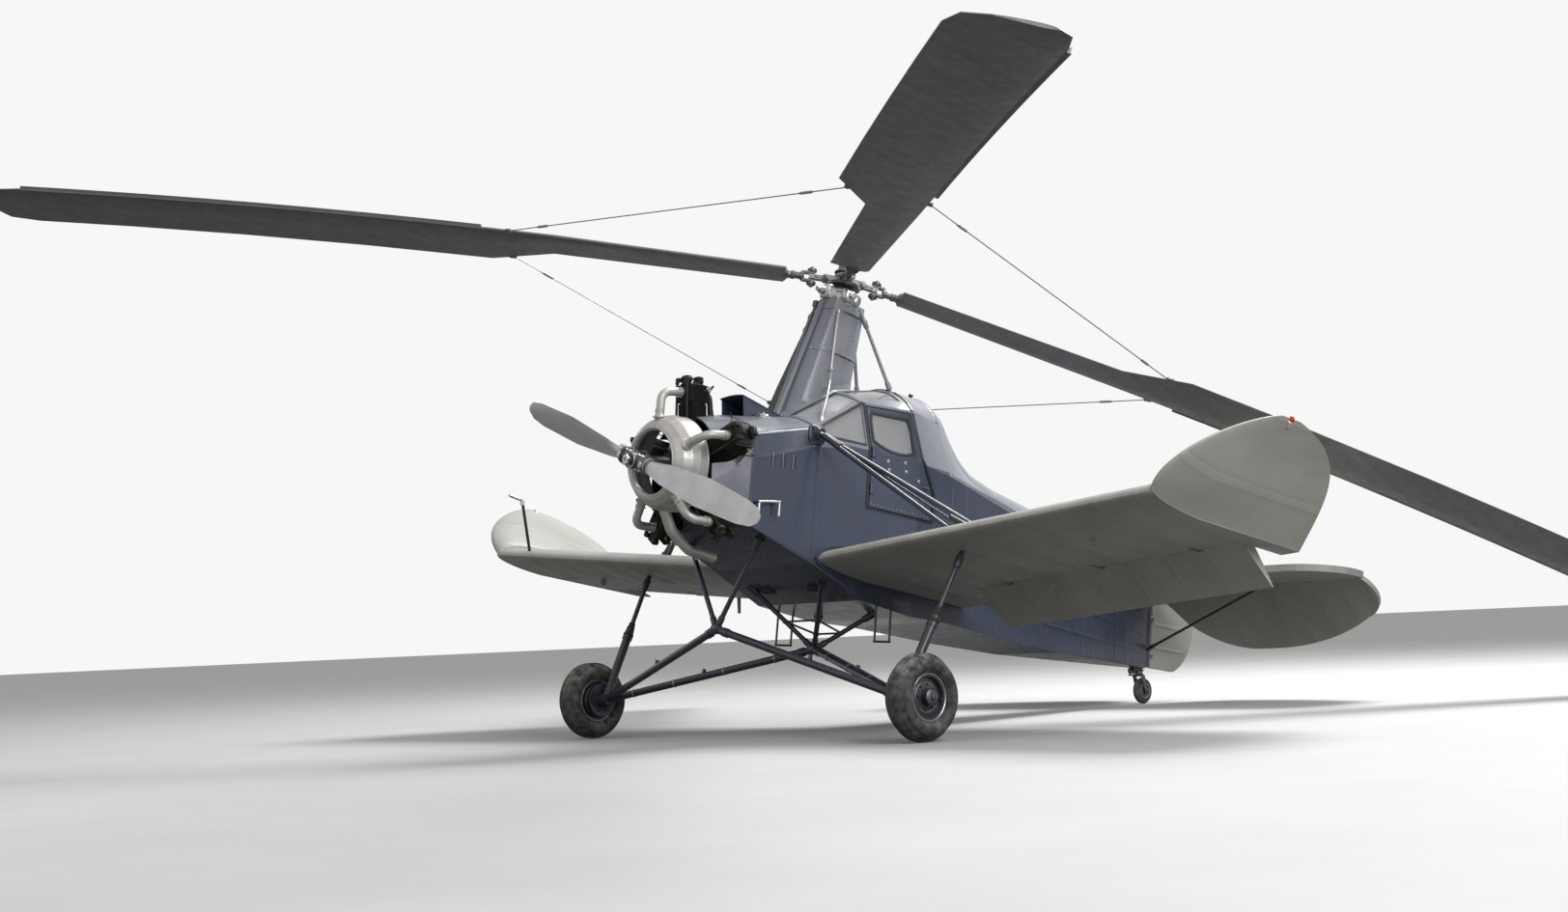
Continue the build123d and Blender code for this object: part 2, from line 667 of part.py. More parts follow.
def mast_head():
    """Round housing under the hub, with the spindle that the rotor turns on."""
    profile = [(0, -205), (62, -205), (96, -165), (104, -120), (84, -72), (60, -60),
               (SPINDLE_RADIUS, -60), (SPINDLE_RADIUS, 88), (0, 88)]
    return ROTOR * revolve(Plane.XZ * make_face(Polyline(*profile, close=True)), axis=Axis.Z)


SPINDLE_RADIUS = 30.0


def make_rotor():
    """Hub with its pins and links, and four drooping blades."""
    profile = [(SPINDLE_RADIUS + RUNNING_CLEARANCE, -50), (120, -50), (120, -28), (72, -20),
               (72, 40), (54, 70), (54, 100), (SPINDLE_RADIUS + RUNNING_CLEARANCE, 100)]
    hub = revolve(Plane.XZ * make_face(Polyline(*profile, close=True)), axis=Axis.Z)
    hub += Pos(0, 0, 92) * extrude(Circle(54), 26)
    hub += Pos(0, 0, 118) * lug((0, 0, LUG_RADIUS), (0, 0, 1), (1, 0, 0))
    links = Part()
    for name, azimuth, droop in BLADES:
        turn = Rot(Z=azimuth)
        for y in (-34, 34):
            hub += turn * region(50, FLAP_PIN_RADIUS + 24, y - 8, y + 8, -18, 18)
        hub += turn * tube((FLAP_PIN_RADIUS, -44, 0), (FLAP_PIN_RADIUS, 44, 0), 10)
        droop_turn = blade_turn(azimuth, droop)
        link = region(FLAP_PIN_RADIUS - 20, DRAG_PIN_RADIUS + 20, -24, 24, -16, 16)
        link -= tube((FLAP_PIN_RADIUS, -60, 0), (FLAP_PIN_RADIUS, 60, 0), 10)
        link += tube((DRAG_PIN_RADIUS, 0, -42), (DRAG_PIN_RADIUS, 0, 42), 9)
        links += droop_turn * link
        node(name, ROTOR * droop_turn * rotor_blade())
    node("rotor_hub", ROTOR * hub)
    node("blade_links", ROTOR * links)


def rotor_blade():
    """Blade along +X: fork, spar tube, narrow root part, wide outer part, rounded tip."""
    sections = []
    for radius, front, rear, thick in BLADE_STATIONS:
        plane = Plane(origin=(radius, 0, blade_sag(radius)), x_dir=(0, -1, 0), z_dir=(-1, 0, 0))
        sections.append(plane * airfoil(-front, -rear, 0.62 * thick, 0.38 * thick, 5))
    blade = loft(sections, ruled=True)
    blade += tube((BLADE_ROOT, 0, 0), (BLADE_STATIONS[0][0] + 60, 0, 0), 22)
    fork = region(DRAG_PIN_RADIUS - 20, BLADE_ROOT + 12, -20, 20, -38, 38)
    fork -= region(0, BLADE_ROOT, -30, 30, -22, 22)
    fork -= tube((DRAG_PIN_RADIUS, 0, -60), (DRAG_PIN_RADIUS, 0, 60), 9)
    return blade + fork


def make_propeller():
    """Metal two-blade propeller and its split hub."""
    # radius, half chord, thickness, pitch angle
    stations = [(124.0, 44.0, 66.0, 34.0), (330.0, 80.0, 34.0, 36.0), (720.0, 104.0, 20.0, 27.0),
                (1120.0, 84.0, 12.0, 20.0), (1240.0, 62.0, 9.0, 18.5), (PROP_RADIUS, 22.0, 6.0, 18.0)]
    blades = Part()
    for side in (0, 180):
        sections = []
        for radius, half, thick, pitch in stations:
            plane = Plane(origin=(radius, 0, 0), x_dir=(0, 0, 1), z_dir=(1, 0, 0))
            back = ThreePointArc((-half, 0), (0, thick / 2), (half, 0))
            face = ThreePointArc((half, 0), (0, -thick / 2), (-half, 0))
            sections.append(plane * Rot(Z=-pitch) * make_face(back + face))
        blades += Rot(Y=-PROP_ANGLE + side) * loft(sections, ruled=True)
    barrel = Rot(Y=-PROP_ANGLE) * tube((-135, 0, 0), (135, 0, 0), 50)
    core = disc((0, -60, 0), (0, 1, 0), 58, 120)
    rings = Part()
    for x in (-118, 118):
        rings += Rot(Y=-PROP_ANGLE) * tube((x - 12, 0, 0), (x + 12, 0, 0), 60)
    cap = disc((0, -82, 0), (0, 1, 0), 34, 24)
    hub = barrel + core + rings + cap
    node("propeller_hub", ENGINE * hub)
    node("propeller", ENGINE * (blades - hub))


def make_gear():
    """Pyramids under the body, axle struts, shock legs, wheels."""
    front = disc((-26, FRONT_APEX[1], FRONT_APEX[2]), (1, 0, 0), 34, 52)
    for x, y, z in FRONT_LEG_FEET:
        for side in (-1, 1):
            front += tube(FRONT_APEX, (side * x, y, z), GEAR_TUBE)
    front -= hull([COWL_FRONT, FIREWALL])
    front -= CABIN_BODY
    rear = disc((-32, REAR_APEX[1], REAR_APEX[2]), (1, 0, 0), 40, 64)
    for x, y, z in REAR_LEG_FEET:
        for side in (-1, 1):
            rear += tube(REAR_APEX, (side * x, y, z), GEAR_TUBE)
    rear -= CABIN_BODY

    stub = (AXLE_STUB_X, AXLE_Y, AXLE_Z)
    axle = tube(stub, (TRACK / 2 + TYRE_WIDTH / 2 - 20, AXLE_Y, AXLE_Z), AXLE_RADIUS)
    axle += disc((AXLE_STUB_X - AXLE_BOSS_HALF, AXLE_Y, AXLE_Z), (1, 0, 0), 46, 2 * AXLE_BOSS_HALF)
    for apex in (FRONT_APEX, REAR_APEX):
        axle += tube(apex, stub, AXLE_STRUT_RADIUS)
    axle += lug((AXLE_STUB_X, AXLE_Y, AXLE_Z - 46 - 10), (0, 0, -1), (0, 1, 0))
    axle -= front
    axle -= rear
    axle -= region(-1000, 12, -3000, 3000, -500, 2000)
    pair("axle_struts", axle)

    foot = Vector(AXLE_STUB_X, AXLE_Y, AXLE_Z + 20)
    top = Vector(*OLEO_TOP)
    knee = foot + (top - foot) * OLEO_CASE_SHARE
    oleo = tube(tuple(foot), tuple(knee), OLEO_RADIUS) + tube(tuple(knee), tuple(top), OLEO_ROD_RADIUS)
    oleo -= axle
    section = airfoil(0, WING_CHORD, WING_UPPER, WING_LOWER, 10)
    oleo -= wing_plane(WING_ROOT_X) * extrude(section, 2000)
    both("shock_legs", oleo)
    node("front_pyramid", front)
    node("rear_pyramid", rear)

    pair("tyre", tyre())
    pair("wheel", wheel())


def turned(points, spot):
    """Turn a profile of radius and distance about a cross axle at a spot."""
    face = Plane.XY * make_face(Polyline(*points, close=True))
    return Pos(*spot) * Rot(Z=-90) * revolve(face, axis=Axis.Y)


def wheel_centre():
    return (TRACK / 2, AXLE_Y, AXLE_Z)


def tyre():
    """Fat low-pressure tyre, whose bead sits on the rim."""
    w, r, seat = TYRE_WIDTH / 2, TYRE_RADIUS, RIM_RADIUS
    side = ThreePointArc((r - 34, -w * 0.72), (r - 66, -w), (seat + 18, -w * 0.66))
    other = ThreePointArc((seat + 18, w * 0.66), (r - 66, w), (r - 34, w * 0.72))
    tread = ThreePointArc((r - 34, w * 0.72), (r, 0), (r - 34, -w * 0.72))
    bead = Polyline((seat + 18, -w * 0.66), (seat, -w * 0.6), (seat, w * 0.6), (seat + 18, w * 0.66))
    face = Plane.XY * make_face(side + bead + other + tread)
    return Pos(*wheel_centre()) * Rot(Z=-90) * revolve(face, axis=Axis.Y)


def wheel():
    """Disc wheel: rim, dished covers and a hub that runs on the axle."""
    w = TYRE_WIDTH / 2
    bore = AXLE_RADIUS + RUNNING_CLEARANCE
    profile = [(bore, -w * 0.62), (52, -w * 0.62), (56, -w * 0.34), (RIM_RADIUS - 20, -w * 0.3),
               (RIM_RADIUS - 14, -w * 0.6), (RIM_RADIUS, -w * 0.6), (RIM_RADIUS, w * 0.6),
               (RIM_RADIUS - 14, w * 0.6), (RIM_RADIUS - 20, w * 0.34), (56, w * 0.44), (52, w * 0.86),
               (bore, w * 0.86)]
    return turned(profile, wheel_centre())


def make_tailwheel():
    """Leg with a bush, swivelling fork and small wheel."""
    swivel = (0, TAILWHEEL_Y - 60, 0)
    y = swivel[1]
    top = TAILWHEEL_Z + TAILWHEEL_RADIUS
    leg = disc((0, y, top + 22), (0, 0, 1), 30, 60)
    leg += region(-20, 20, y - 90, y + 20, top + 40, top + 110)
    leg -= disc((0, y, top), (0, 0, 1), 14 + RUNNING_CLEARANCE, 62)
    leg += lug((0, y - 104, top + 38), (0, -1, 0), (1, 0, 0))
    leg -= DECK_BODY
    fork = disc((0, y, top + 8), (0, 0, 1), 14, 50)
    fork += region(-48, 48, y - 22, y + 26, top + 6, top + 16)
    for side in (-1, 1):
        x = side * 42
        fork += side_prism([(y - 20, top + 10), (y + 24, top + 10), (TAILWHEEL_Y + 18, TAILWHEEL_Z - 18),
                            (TAILWHEEL_Y - 16, TAILWHEEL_Z - 18)], x - 5, x + 5)
    fork += tube((-47, TAILWHEEL_Y, TAILWHEEL_Z), (47, TAILWHEEL_Y, TAILWHEEL_Z), 9)
    node("tailwheel_leg", leg)
    node("tailwheel_fork", fork)
    w, r = TAILWHEEL_WIDTH / 2, TAILWHEEL_RADIUS
    tread = ThreePointArc((r - 14, w * 0.8), (r, 0), (r - 14, -w * 0.8))
    rest = Polyline((r - 14, -w * 0.8), (58, -w), (24, -w * 0.8), (9 + RUNNING_CLEARANCE, -w),
                    (9 + RUNNING_CLEARANCE, w), (24, w * 0.8), (58, w), (r - 14, w * 0.8))
    face = Plane.XY * make_face(tread + rest)
    node("tailwheel", Pos(0, TAILWHEEL_Y, TAILWHEEL_Z) * Rot(Z=-90) * revolve(face, axis=Axis.Y))


def plan_plate(outline, z, thickness):
    """Flat surface with a plan view, centred on a height."""
    face = Plane(origin=(0, 0, z - thickness / 2), x_dir=(1, 0, 0), z_dir=(0, 0, 1)) * make_face(outline)
    return extrude(face, thickness, dir=(0, 0, 1))


def make_tail():
    """Stabiliser halves, elevators, fin, rudder and the struts below."""
    tip = STAB_HALF_SPAN
    stab_line = Polyline((tip - 8, STAB_HINGE_Y - 30), (0, STAB_HINGE_Y - 30), (0, STAB_LE_Y),
                         (tip - 400, STAB_LE_Y))
    stab_line += ThreePointArc((tip - 400, STAB_LE_Y), (tip - 75, STAB_LE_Y + 150), (tip - 8, STAB_HINGE_Y - 30))
    stab = plan_plate(stab_line, STAB_Z, STAB_THICKNESS)
    stab -= DECK_BODY
    stab -= fin_body()
    both("stabiliser", stab)

    root, y = ELEVATOR_ROOT_X, STAB_HINGE_Y
    line = Polyline((tip - 60, y), (root, y), (root + 12, y + 150), (root + 105, y + 400))
    line += ThreePointArc((root + 105, y + 400), (430, y + 625), (800, y + 715))
    line += ThreePointArc((800, y + 715), (1400, y + 640), (tip - 160, y + 410))
    line += ThreePointArc((tip - 160, y + 410), (tip + 6, y + 190), (tip - 60, y))
    elevator = plan_plate(line, STAB_Z, STAB_THICKNESS - 14)
    elevator += tube((root, STAB_HINGE_Y, STAB_Z), (tip - 60, STAB_HINGE_Y, STAB_Z), STAB_THICKNESS / 2 - 4)
    elevator += tube((-10, STAB_HINGE_Y, STAB_Z), (root, STAB_HINGE_Y, STAB_Z), 13)
    elevator -= region(-100, 0, 0, 5000, 0, 4000)
    hinge = Pos(0, STAB_HINGE_Y, STAB_Z)
    drooped = hinge * Rot(X=-ELEVATOR_REST) * hinge.inverse() * elevator
    pair("elevator", drooped)

    node("fin", fin_body() - DECK_BODY - tube((-200, STAB_HINGE_Y, STAB_Z), (200, STAB_HINGE_Y, STAB_Z), 22))
    y = RUDDER_HINGE_Y
    blade = Polyline((y, 1600), (y, RUDDER_BOTTOM), (y + 300, RUDDER_BOTTOM))
    blade += ThreePointArc((y + 300, RUDDER_BOTTOM), (y + 530, 1080), (y + 480, 1420))
    blade += ThreePointArc((y + 480, 1420), (y + 330, 1740), (y + 60, RUDDER_TOP))
    blade += Polyline((y + 60, RUDDER_TOP), (y, RUDDER_TOP), (y, 1600))
    face = side_plane(-(FIN_THICKNESS_TAIL - 12) / 2) * make_face(blade)
    rudder = extrude(face, FIN_THICKNESS_TAIL - 12, dir=(1, 0, 0))
    rudder += disc((0, y, RUDDER_BOTTOM), (0, 0, 1), FIN_THICKNESS_TAIL / 2 - 3, RUDDER_TOP - RUDDER_BOTTOM)
    node("rudder", rudder)

    struts = Part()
    struts += tube((14, 3165, 940), (1250, 3080, STAB_Z - STAB_THICKNESS / 2 + 6), 11)
    struts -= DECK_BODY
    struts -= stern_post()
    struts -= stab
    both("tail_struts", struts)


def fin_body():
    """Fin ahead of the rudder, rising from the rear deck."""
    y = RUDDER_HINGE_Y - FIN_THICKNESS_TAIL / 2 - MOVING_GAP
    line = Polyline((2620, 1500), (y, 1450), (y, RUDDER_TOP))
    line += ThreePointArc((y, RUDDER_TOP), (2960, 1800), (2620, 1500))
    face = side_plane(-FIN_THICKNESS_TAIL / 2) * make_face(line)
    return extrude(face, FIN_THICKNESS_TAIL, dir=(1, 0, 0))


def make_cabin_inside():
    """Bench seat for two, instrument panel and two control sticks."""
    room = hull(CABIN_STATIONS, WALL)
    seat = region(-440, 440, -560, -150, 1180, 1300)
    back = Pos(0, -120, 1500) * Rot(X=-12) * Box(880, 90, 520)
    legs = region(-400, 400, -520, -200, 700, 1180) & room
    node("bench_seat", seat + back + legs)
    panel = region(-700, 700, -1010, -985, 1560, 1830) & room
    for x in (-220, -110, 0, 110, 220):
        panel += disc((x, -985, 1720), (0, 1, 0), 38, 12)
    node("instrument_panel", panel)
    sticks = Part()
    for x in (-230, 230):
        sticks += tube((x, -800, 760), (x, -740, 1430), 11) & room
        sticks += ball((x, -740, 1430), 22)
    node("control_sticks", sticks)


def make_fittings():
    """Steps, side handles, pitot mast, lamps on the tips."""
    step = tube((496, -455, 860), (500, -455, 556), 8) + tube((496, -312, 860), (500, -312, 570), 8)
    step += tube((500, -463, 555), (500, -304, 571), 8)
    step -= CABIN_BODY
    handle = tube((500, -1596, 1336), (500, -1420, 1364), 9)
    for y, z in ((-1584, 1338), (-1432, 1362)):
        handle += tube((410, y, z), (500, y, z), 8)
    handle -= CABIN_BODY
    both("steps", step + handle)
    base = wing_point(2900, 60, 10)
    knee = (2900, WING_LE_Y - 70, 1690)
    mast = tube(tuple(base), knee, 12) + tube(knee, (2900, WING_LE_Y - 200, 1712), 9)
    section = airfoil(0, WING_CHORD, WING_UPPER, WING_LOWER, 10)
    mast -= wing_plane(WING_ROOT_X) * extrude(section, 2760)
    node("pitot_mast", mirror(mast, about=Plane.YZ))


def main():
    make_cabin()
    make_cowl_flap()
    make_rear_body()
    make_engine_cowl()
    make_engine()
    make_collector()
    make_wing()
    make_wing_struts()
    make_pylon()
    make_rotor()
    make_propeller()
    make_gear()
    make_tailwheel()
    make_tail()
    make_cabin_inside()
    make_fittings()
    os.makedirs("parts", exist_ok=True)
    for name, shape in NODES.items():
        export_step(shape, f"parts/{name}.step")
    print(len(NODES), "nodes, park angle", round(PARK_ANGLE, 3))


main()
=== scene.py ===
# %% [markdown]
# # A parked cabin autogiro
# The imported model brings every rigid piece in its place. This lesson dresses it: paint, doped
# fabric, metal and glass first, then the small pieces that are too thin or too many for the solids.
# We start by loading the frame and keeping its size, because the looks may not change it.

# %% Load the frame
import json
import math

import bmesh
import bpy
import numpy as np
from mathutils import Matrix, Vector


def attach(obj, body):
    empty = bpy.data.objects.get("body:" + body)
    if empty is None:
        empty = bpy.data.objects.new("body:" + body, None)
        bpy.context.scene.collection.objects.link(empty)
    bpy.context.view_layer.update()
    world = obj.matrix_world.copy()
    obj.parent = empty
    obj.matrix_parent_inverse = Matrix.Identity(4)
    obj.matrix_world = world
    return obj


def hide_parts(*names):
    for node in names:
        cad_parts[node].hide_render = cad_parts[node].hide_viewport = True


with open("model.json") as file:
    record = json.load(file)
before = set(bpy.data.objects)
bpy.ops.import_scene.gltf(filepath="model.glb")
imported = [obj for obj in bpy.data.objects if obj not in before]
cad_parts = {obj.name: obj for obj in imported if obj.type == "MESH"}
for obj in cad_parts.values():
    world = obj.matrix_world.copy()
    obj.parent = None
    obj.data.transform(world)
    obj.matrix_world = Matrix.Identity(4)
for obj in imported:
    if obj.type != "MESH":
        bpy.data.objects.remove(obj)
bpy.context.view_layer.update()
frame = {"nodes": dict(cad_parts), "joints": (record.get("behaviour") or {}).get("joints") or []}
NODES = frame["nodes"]

# %% [markdown]
# The aircraft was drawn level and then turned nose up until its tailwheel touched the ground.
# New pieces are easier to place in that level frame. The rudder's hinge is upright there, so its
# axis gives the angle, and the rotor's hub gives the shift.

# %% From the level frame to the parked one
JOINTS = {joint["name"]: joint for joint in frame["joints"]}
HINGE = JOINTS["rudder_hinge"]["axis"]
PARK = math.atan2(HINGE[1], HINGE[2])
HUB_LEVEL = np.array([0.0, -0.503, 3.177])
PARK_MATRIX = np.array([[1, 0, 0],
                        [0, math.cos(PARK), math.sin(PARK)],
                        [0, -math.sin(PARK), math.cos(PARK)]])
PARK_SHIFT = np.array(JOINTS["rotor_spin"]["pos_m"]) - PARK_MATRIX @ HUB_LEVEL


def park(points):
    """Turn level points nose up by the park angle, then shift them."""
    return np.asarray(points, float) @ PARK_MATRIX.T + PARK_SHIFT


print("park angle", round(math.degrees(PARK), 3), "shift", PARK_SHIFT.round(4))

# %% [markdown]
# Some groups of pieces are easier still in a frame of their own: the engine leans down by a few
# degrees, and each rotor blade droops about its pin. A frame is a 4 by 4 matrix, and frames multiply
# in the order in which a fitter would turn the part.

# %% Frames of the engine, the rotor and its blades
def shifted(x, y, z):
    """Matrix of a move."""
    made = np.eye(4)
    made[:3, 3] = x, y, z
    return made


def spun(axis, degrees):
    """Matrix of a turn about X, Y or Z by the right hand rule."""
    c, s = math.cos(math.radians(degrees)), math.sin(math.radians(degrees))
    i, j = {"X": (1, 2), "Y": (2, 0), "Z": (0, 1)}[axis]
    made = np.eye(4)
    made[i, i] = made[j, j] = c
    made[j, i], made[i, j] = s, -s
    return made


def carried(matrix, points):
    """Points of a frame, in the level frame."""
    return np.asarray(points, float) @ matrix[:3, :3].T + matrix[:3, 3]


def moved(matrix, part):
    """A (points, faces) pair of a frame, in the level frame."""
    return carried(matrix, part[0]), part[1]


def unit(vector):
    """The same direction at length one."""
    vector = np.asarray(vector, float)
    return vector / np.linalg.norm(vector, axis=-1, keepdims=True)


LEVEL = np.eye(4)
ENGINE = shifted(0, -2.249, 1.54) @ spun("X", 5.7)
CYLINDERS = 5
CYLINDER_STEP = 360 / CYLINDERS
ROTOR = shifted(*HUB_LEVEL) @ spun("X", -7.5)
FLAP_PIN = 0.13
BLADE_SET = {"blade_front_port": (-35.0, 7.5), "blade_rear_port": (55.0, 8.5),
             "blade_rear_starboard": (145.0, 6.3), "blade_front_starboard": (-129.0, 3.4)}


def blade_frame(name):
    """Blade along +X, turned to its azimuth and drooped about the flapping pin."""
    azimuth, droop = BLADE_SET[name]
    hung = shifted(FLAP_PIN, 0, 0) @ spun("Y", droop) @ shifted(-FLAP_PIN, 0, 0)
    return ROTOR @ spun("Z", azimuth) @ hung


def cylinder_frame(number):
    """Cylinder along +Z from the shaft line, the first one on top."""
    return ENGINE @ spun("Y", -CYLINDER_STEP * number) @ shifted(0, 0.475, 0)


print("hub in the level frame", carried(ROTOR, [[0, 0, 0]])[0].round(3))

# %% [markdown]
# Every new piece is a surface worked out with numpy. A grid of points becomes quads by one index
# table, and several grids can be joined in one mesh. Most pieces of an aircraft are one of four
# forms: a tube along a path, a section carried along a path, a profile turned about an axis, or a
# rounded block. Most finishes name their own slot of the library, and the others are listed.

# %% Joining grids into a piece
def grid_faces(rows, columns, close_columns=True, close_rows=False):
    """Quads between neighbouring rows and columns of a grid of points, as one index table."""
    r = np.arange(rows if close_rows else rows - 1)
    c = np.arange(columns if close_columns else columns - 1)
    rr, cc = np.meshgrid(r, c, indexing="ij")
    r2, c2 = (rr + 1) % rows, (cc + 1) % columns
    quads = np.stack([rr * columns + cc, rr * columns + c2, r2 * columns + c2, r2 * columns + cc], -1)
    return quads.reshape(-1, 4)


def capped(rows, columns):
    """Index table of a closed tube: its quads and one many-sided face at each end."""
    faces = grid_faces(rows, columns).tolist()
    return faces + [list(range(columns))[::-1], list(range((rows - 1) * columns, rows * columns))]


SLOT_OF = {"body_paint": "blue_paint", "deck_paint": "blue_paint", "pylon_paint": "blue_paint",
           "body_fabric": "blue_paint", "seam_paint": "panel_black", "black_rubber": "tyre_rubber",
           "wire_steel": "hub_steel", "brass": "engine_metal", "red_glass": "glass",
           "green_glass": "glass"}


def make_object(name, parts, material, body="airframe", slot=None, within=LEVEL, sharp=35):
    """Join (points, faces) pairs of one frame into a mesh object that rides on a body."""
    points, faces, start = [], [], 0
    for part_points, part_faces in parts:
        points.append(np.asarray(part_points, float).reshape(-1, 3))
        faces += [[int(i) + start for i in face] for face in part_faces]
        start += len(points[-1])
    mesh = bpy.data.meshes.new(name)
    mesh.from_pydata(park(carried(within, np.concatenate(points))).tolist(), [], faces)
    mesh.update()
    mesh.polygons.foreach_set("use_smooth", [True] * len(mesh.polygons))
    mesh.set_sharp_from_angle(angle=math.radians(sharp))
    piece = bpy.data.objects.new(name, mesh)
    bpy.context.scene.collection.objects.link(piece)
    mesh.materials.append(material)
    finish = material.name.split(".")[0]  # a number follows a name that is in use already
    slot = slot or SLOT_OF.get(finish, finish)
    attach(piece, body)
    return piece


# %% [markdown]
# A path needs a side and an up direction at each point. A guide direction that is never along the
# path gives both by cross products.

# %% Tubes, sections and turned profiles
def path_frames(path, up):
    """Side and up directions square to a path, from a guide direction or one for each point."""
    path = np.asarray(path, float)
    along = unit(np.gradient(path, axis=0))
    up = np.broadcast_to(np.asarray(up, float), path.shape)
    side = np.cross(along, up)
    side /= np.maximum(np.linalg.norm(side, axis=1, keepdims=True), 1e-9)
    return path, side, np.cross(side, along)


def swept(path, section, up):
    """Closed section of (side, up) points carried along a path: path + s times side + u times up."""
    path, side, upward = path_frames(path, up)
    section = np.asarray(section, float)
    ring = path[:, None] + section[:, :1] * side[:, None] + section[:, 1:] * upward[:, None]
    return ring.reshape(-1, 3), capped(len(path), len(section))


def along_path(path, radii, sides, up):
    """Circles square to a path: each ring is the point plus radius times (sin, cos) in its frame."""
    path, side, upward = path_frames(path, up)
    radii = np.broadcast_to(np.asarray(radii, float), (len(path),))[:, None, None]
    a = np.linspace(0, 2 * np.pi, sides, endpoint=False)[None, :, None]
    ring = path[:, None] + radii * (np.sin(a) * side[:, None] + np.cos(a) * upward[:, None])
    return ring.reshape(-1, 3), capped(len(path), sides)


def bar(start, end, radius, sides=10):
    """Round rod between two points, its ends slightly rounded."""
    start, end = np.asarray(start, float), np.asarray(end, float)
    length = np.linalg.norm(end - start)
    edge = min(0.25 * radius / length, 0.2)
    share = np.array([0, edge, 1 - edge, 1])[:, None]
    radii = radius * np.array([0.75, 1, 1, 0.75])
    return along_path(start + (end - start) * share, radii, sides, guide_for(end - start))


def guide_for(direction):
    """A direction that isn't nearly along the given one."""
    return np.eye(3)[int(np.argmin(np.abs(direction)))]


def turned(profile, centre, axis, sides=24, closed=False):
    """A profile of (distance along, radius) turned about an axis through a centre."""
    profile = np.asarray(profile, float)
    axis = unit(axis)
    side = unit(np.cross(axis, guide_for(axis)))
    up = np.cross(axis, side)
    a = np.linspace(0, 2 * np.pi, sides, endpoint=False)
    spoke = np.cos(a)[:, None] * side + np.sin(a)[:, None] * up
    rings = (np.asarray(centre, float) + profile[:, :1, None] * axis[None, None]
             + profile[:, 1:, None] * spoke[None])
    rows = len(profile)
    faces = grid_faces(rows, sides, close_rows=True).tolist() if closed else capped(rows, sides)
    return rings.reshape(-1, 3), faces


def hoop(centre, axis, radius, thickness, sides=48, around=8):
    """Round ring: a small circle turned about the axis at the given radius."""
    a = np.linspace(0, 2 * np.pi, around, endpoint=False)
    return turned(np.stack([thickness * np.sin(a), radius + thickness * np.cos(a)], -1),
                  centre, axis, sides, closed=True)


def sleeve(half, inner, outer, place, axis, sides=24):
    """Ring of square section about an axis: half its length, and its two radii."""
    return turned([(-half, inner), (-half, outer), (half, outer), (half, inner)], place, axis, sides,
                  closed=True)


def slab(front, back):
    """Plate between two copies of an outline."""
    return np.concatenate([front, back]), capped(2, len(front))


def smooth_path(corners, steps):
    """A Catmull-Rom curve through corners, sampled evenly in its parameter."""
    c = np.asarray(corners, float)
    c = np.vstack([2 * c[0] - c[1], c, 2 * c[-1] - c[-2]])
    s = np.linspace(0, len(c) - 3 - 1e-9, steps)
    k = s.astype(int)
    t = (s - k)[:, None]
    p0, p1, p2, p3 = c[k], c[k + 1], c[k + 2], c[k + 3]
    return 0.5 * (2 * p1 + (p2 - p0) * t + (2 * p0 - 5 * p1 + 4 * p2 - p3) * t ** 2
                  + (3 * p1 - p0 - 3 * p2 + p3) * t ** 3)


# %% [markdown]
# Castings, pads and covers are rounded blocks. A superellipsoid makes them all: the sine and cosine
# of a sphere are raised to a power, and a small power pushes the sphere out into a box with soft
# edges. Fasteners are one small domed profile, repeated at many places in one array sum.

# %% Rounded blocks and fasteners
def power(value, exponent):
    """Power of the size, with the sign kept."""
    return np.sign(value) * np.abs(value) ** exponent


def block(centre, half, flat=0.35, upright=0.35, rows=12, columns=28):
    """Superellipsoid: half sizes times powers of the sine and cosine of latitude and longitude."""
    v = np.linspace(-0.5 * np.pi, 0.5 * np.pi, rows + 2)[1:-1][:, None]
    u = np.linspace(0, 2 * np.pi, columns, endpoint=False)[None, :]
    x = power(np.cos(v), upright) * power(np.cos(u), flat)
    y = power(np.cos(v), upright) * power(np.sin(u), flat)
    z = power(np.sin(v), upright) + 0 * u
    points = np.stack([x, y, z], -1) * np.asarray(half) + np.asarray(centre, float)
    return points.reshape(-1, 3), capped(rows, columns)


def outline(half_x, half_y, count, squareness=0.42):
    """Rounded rectangle as a superellipse, as (x, y) points."""
    a = np.linspace(0, 2 * np.pi, count, endpoint=False)
    return np.stack([half_x * power(np.cos(a), squareness), half_y * power(np.sin(a), squareness)], -1)


def studs(places, normals, radius=0.004, height=0.003, sides=8):
    """Domed heads: one small profile repeated, each with its own normal as axis."""
    places = np.asarray(places, float).reshape(-1, 3)
    normals = unit(np.broadcast_to(np.asarray(normals, float), places.shape))
    guide = np.where(np.abs(normals[:, 2:3]) > 0.8, np.array([[1.0, 0, 0]]), np.array([[0, 0, 1.0]]))
    side = unit(np.cross(guide, normals))
    up = np.cross(normals, side)
    a = np.linspace(0, 2 * np.pi, sides, endpoint=False)[None, :, None]
    spoke = np.cos(a) * side[:, None] + np.sin(a) * up[:, None]
    profile = np.array([(-0.4, 1.0), (0.45, 1.0), (0.95, 0.55)]) * (height, radius)
    rows = [places[:, None] + level * normals[:, None] + reach * spoke for level, reach in profile]
    base = np.arange(len(places))[:, None, None] * 3 * sides
    faces = (grid_faces(3, sides) + base).reshape(-1, 4).tolist()
    faces += (np.arange(2 * sides, 3 * sides) + base[:, 0]).tolist()
    return np.stack(rows, 1).reshape(-1, 3), faces


def bolt_circle(axis, count, radius, along, start=0.0):
    """Even places round an axis: radius times cosine and sine, and a distance along the axis."""
    a = np.arange(count) * 2 * np.pi / count + start
    places = [radius * np.cos(a), radius * np.sin(a)]
    places.insert("XYZ".index(axis), np.full(count, along))
    return np.column_stack(places)


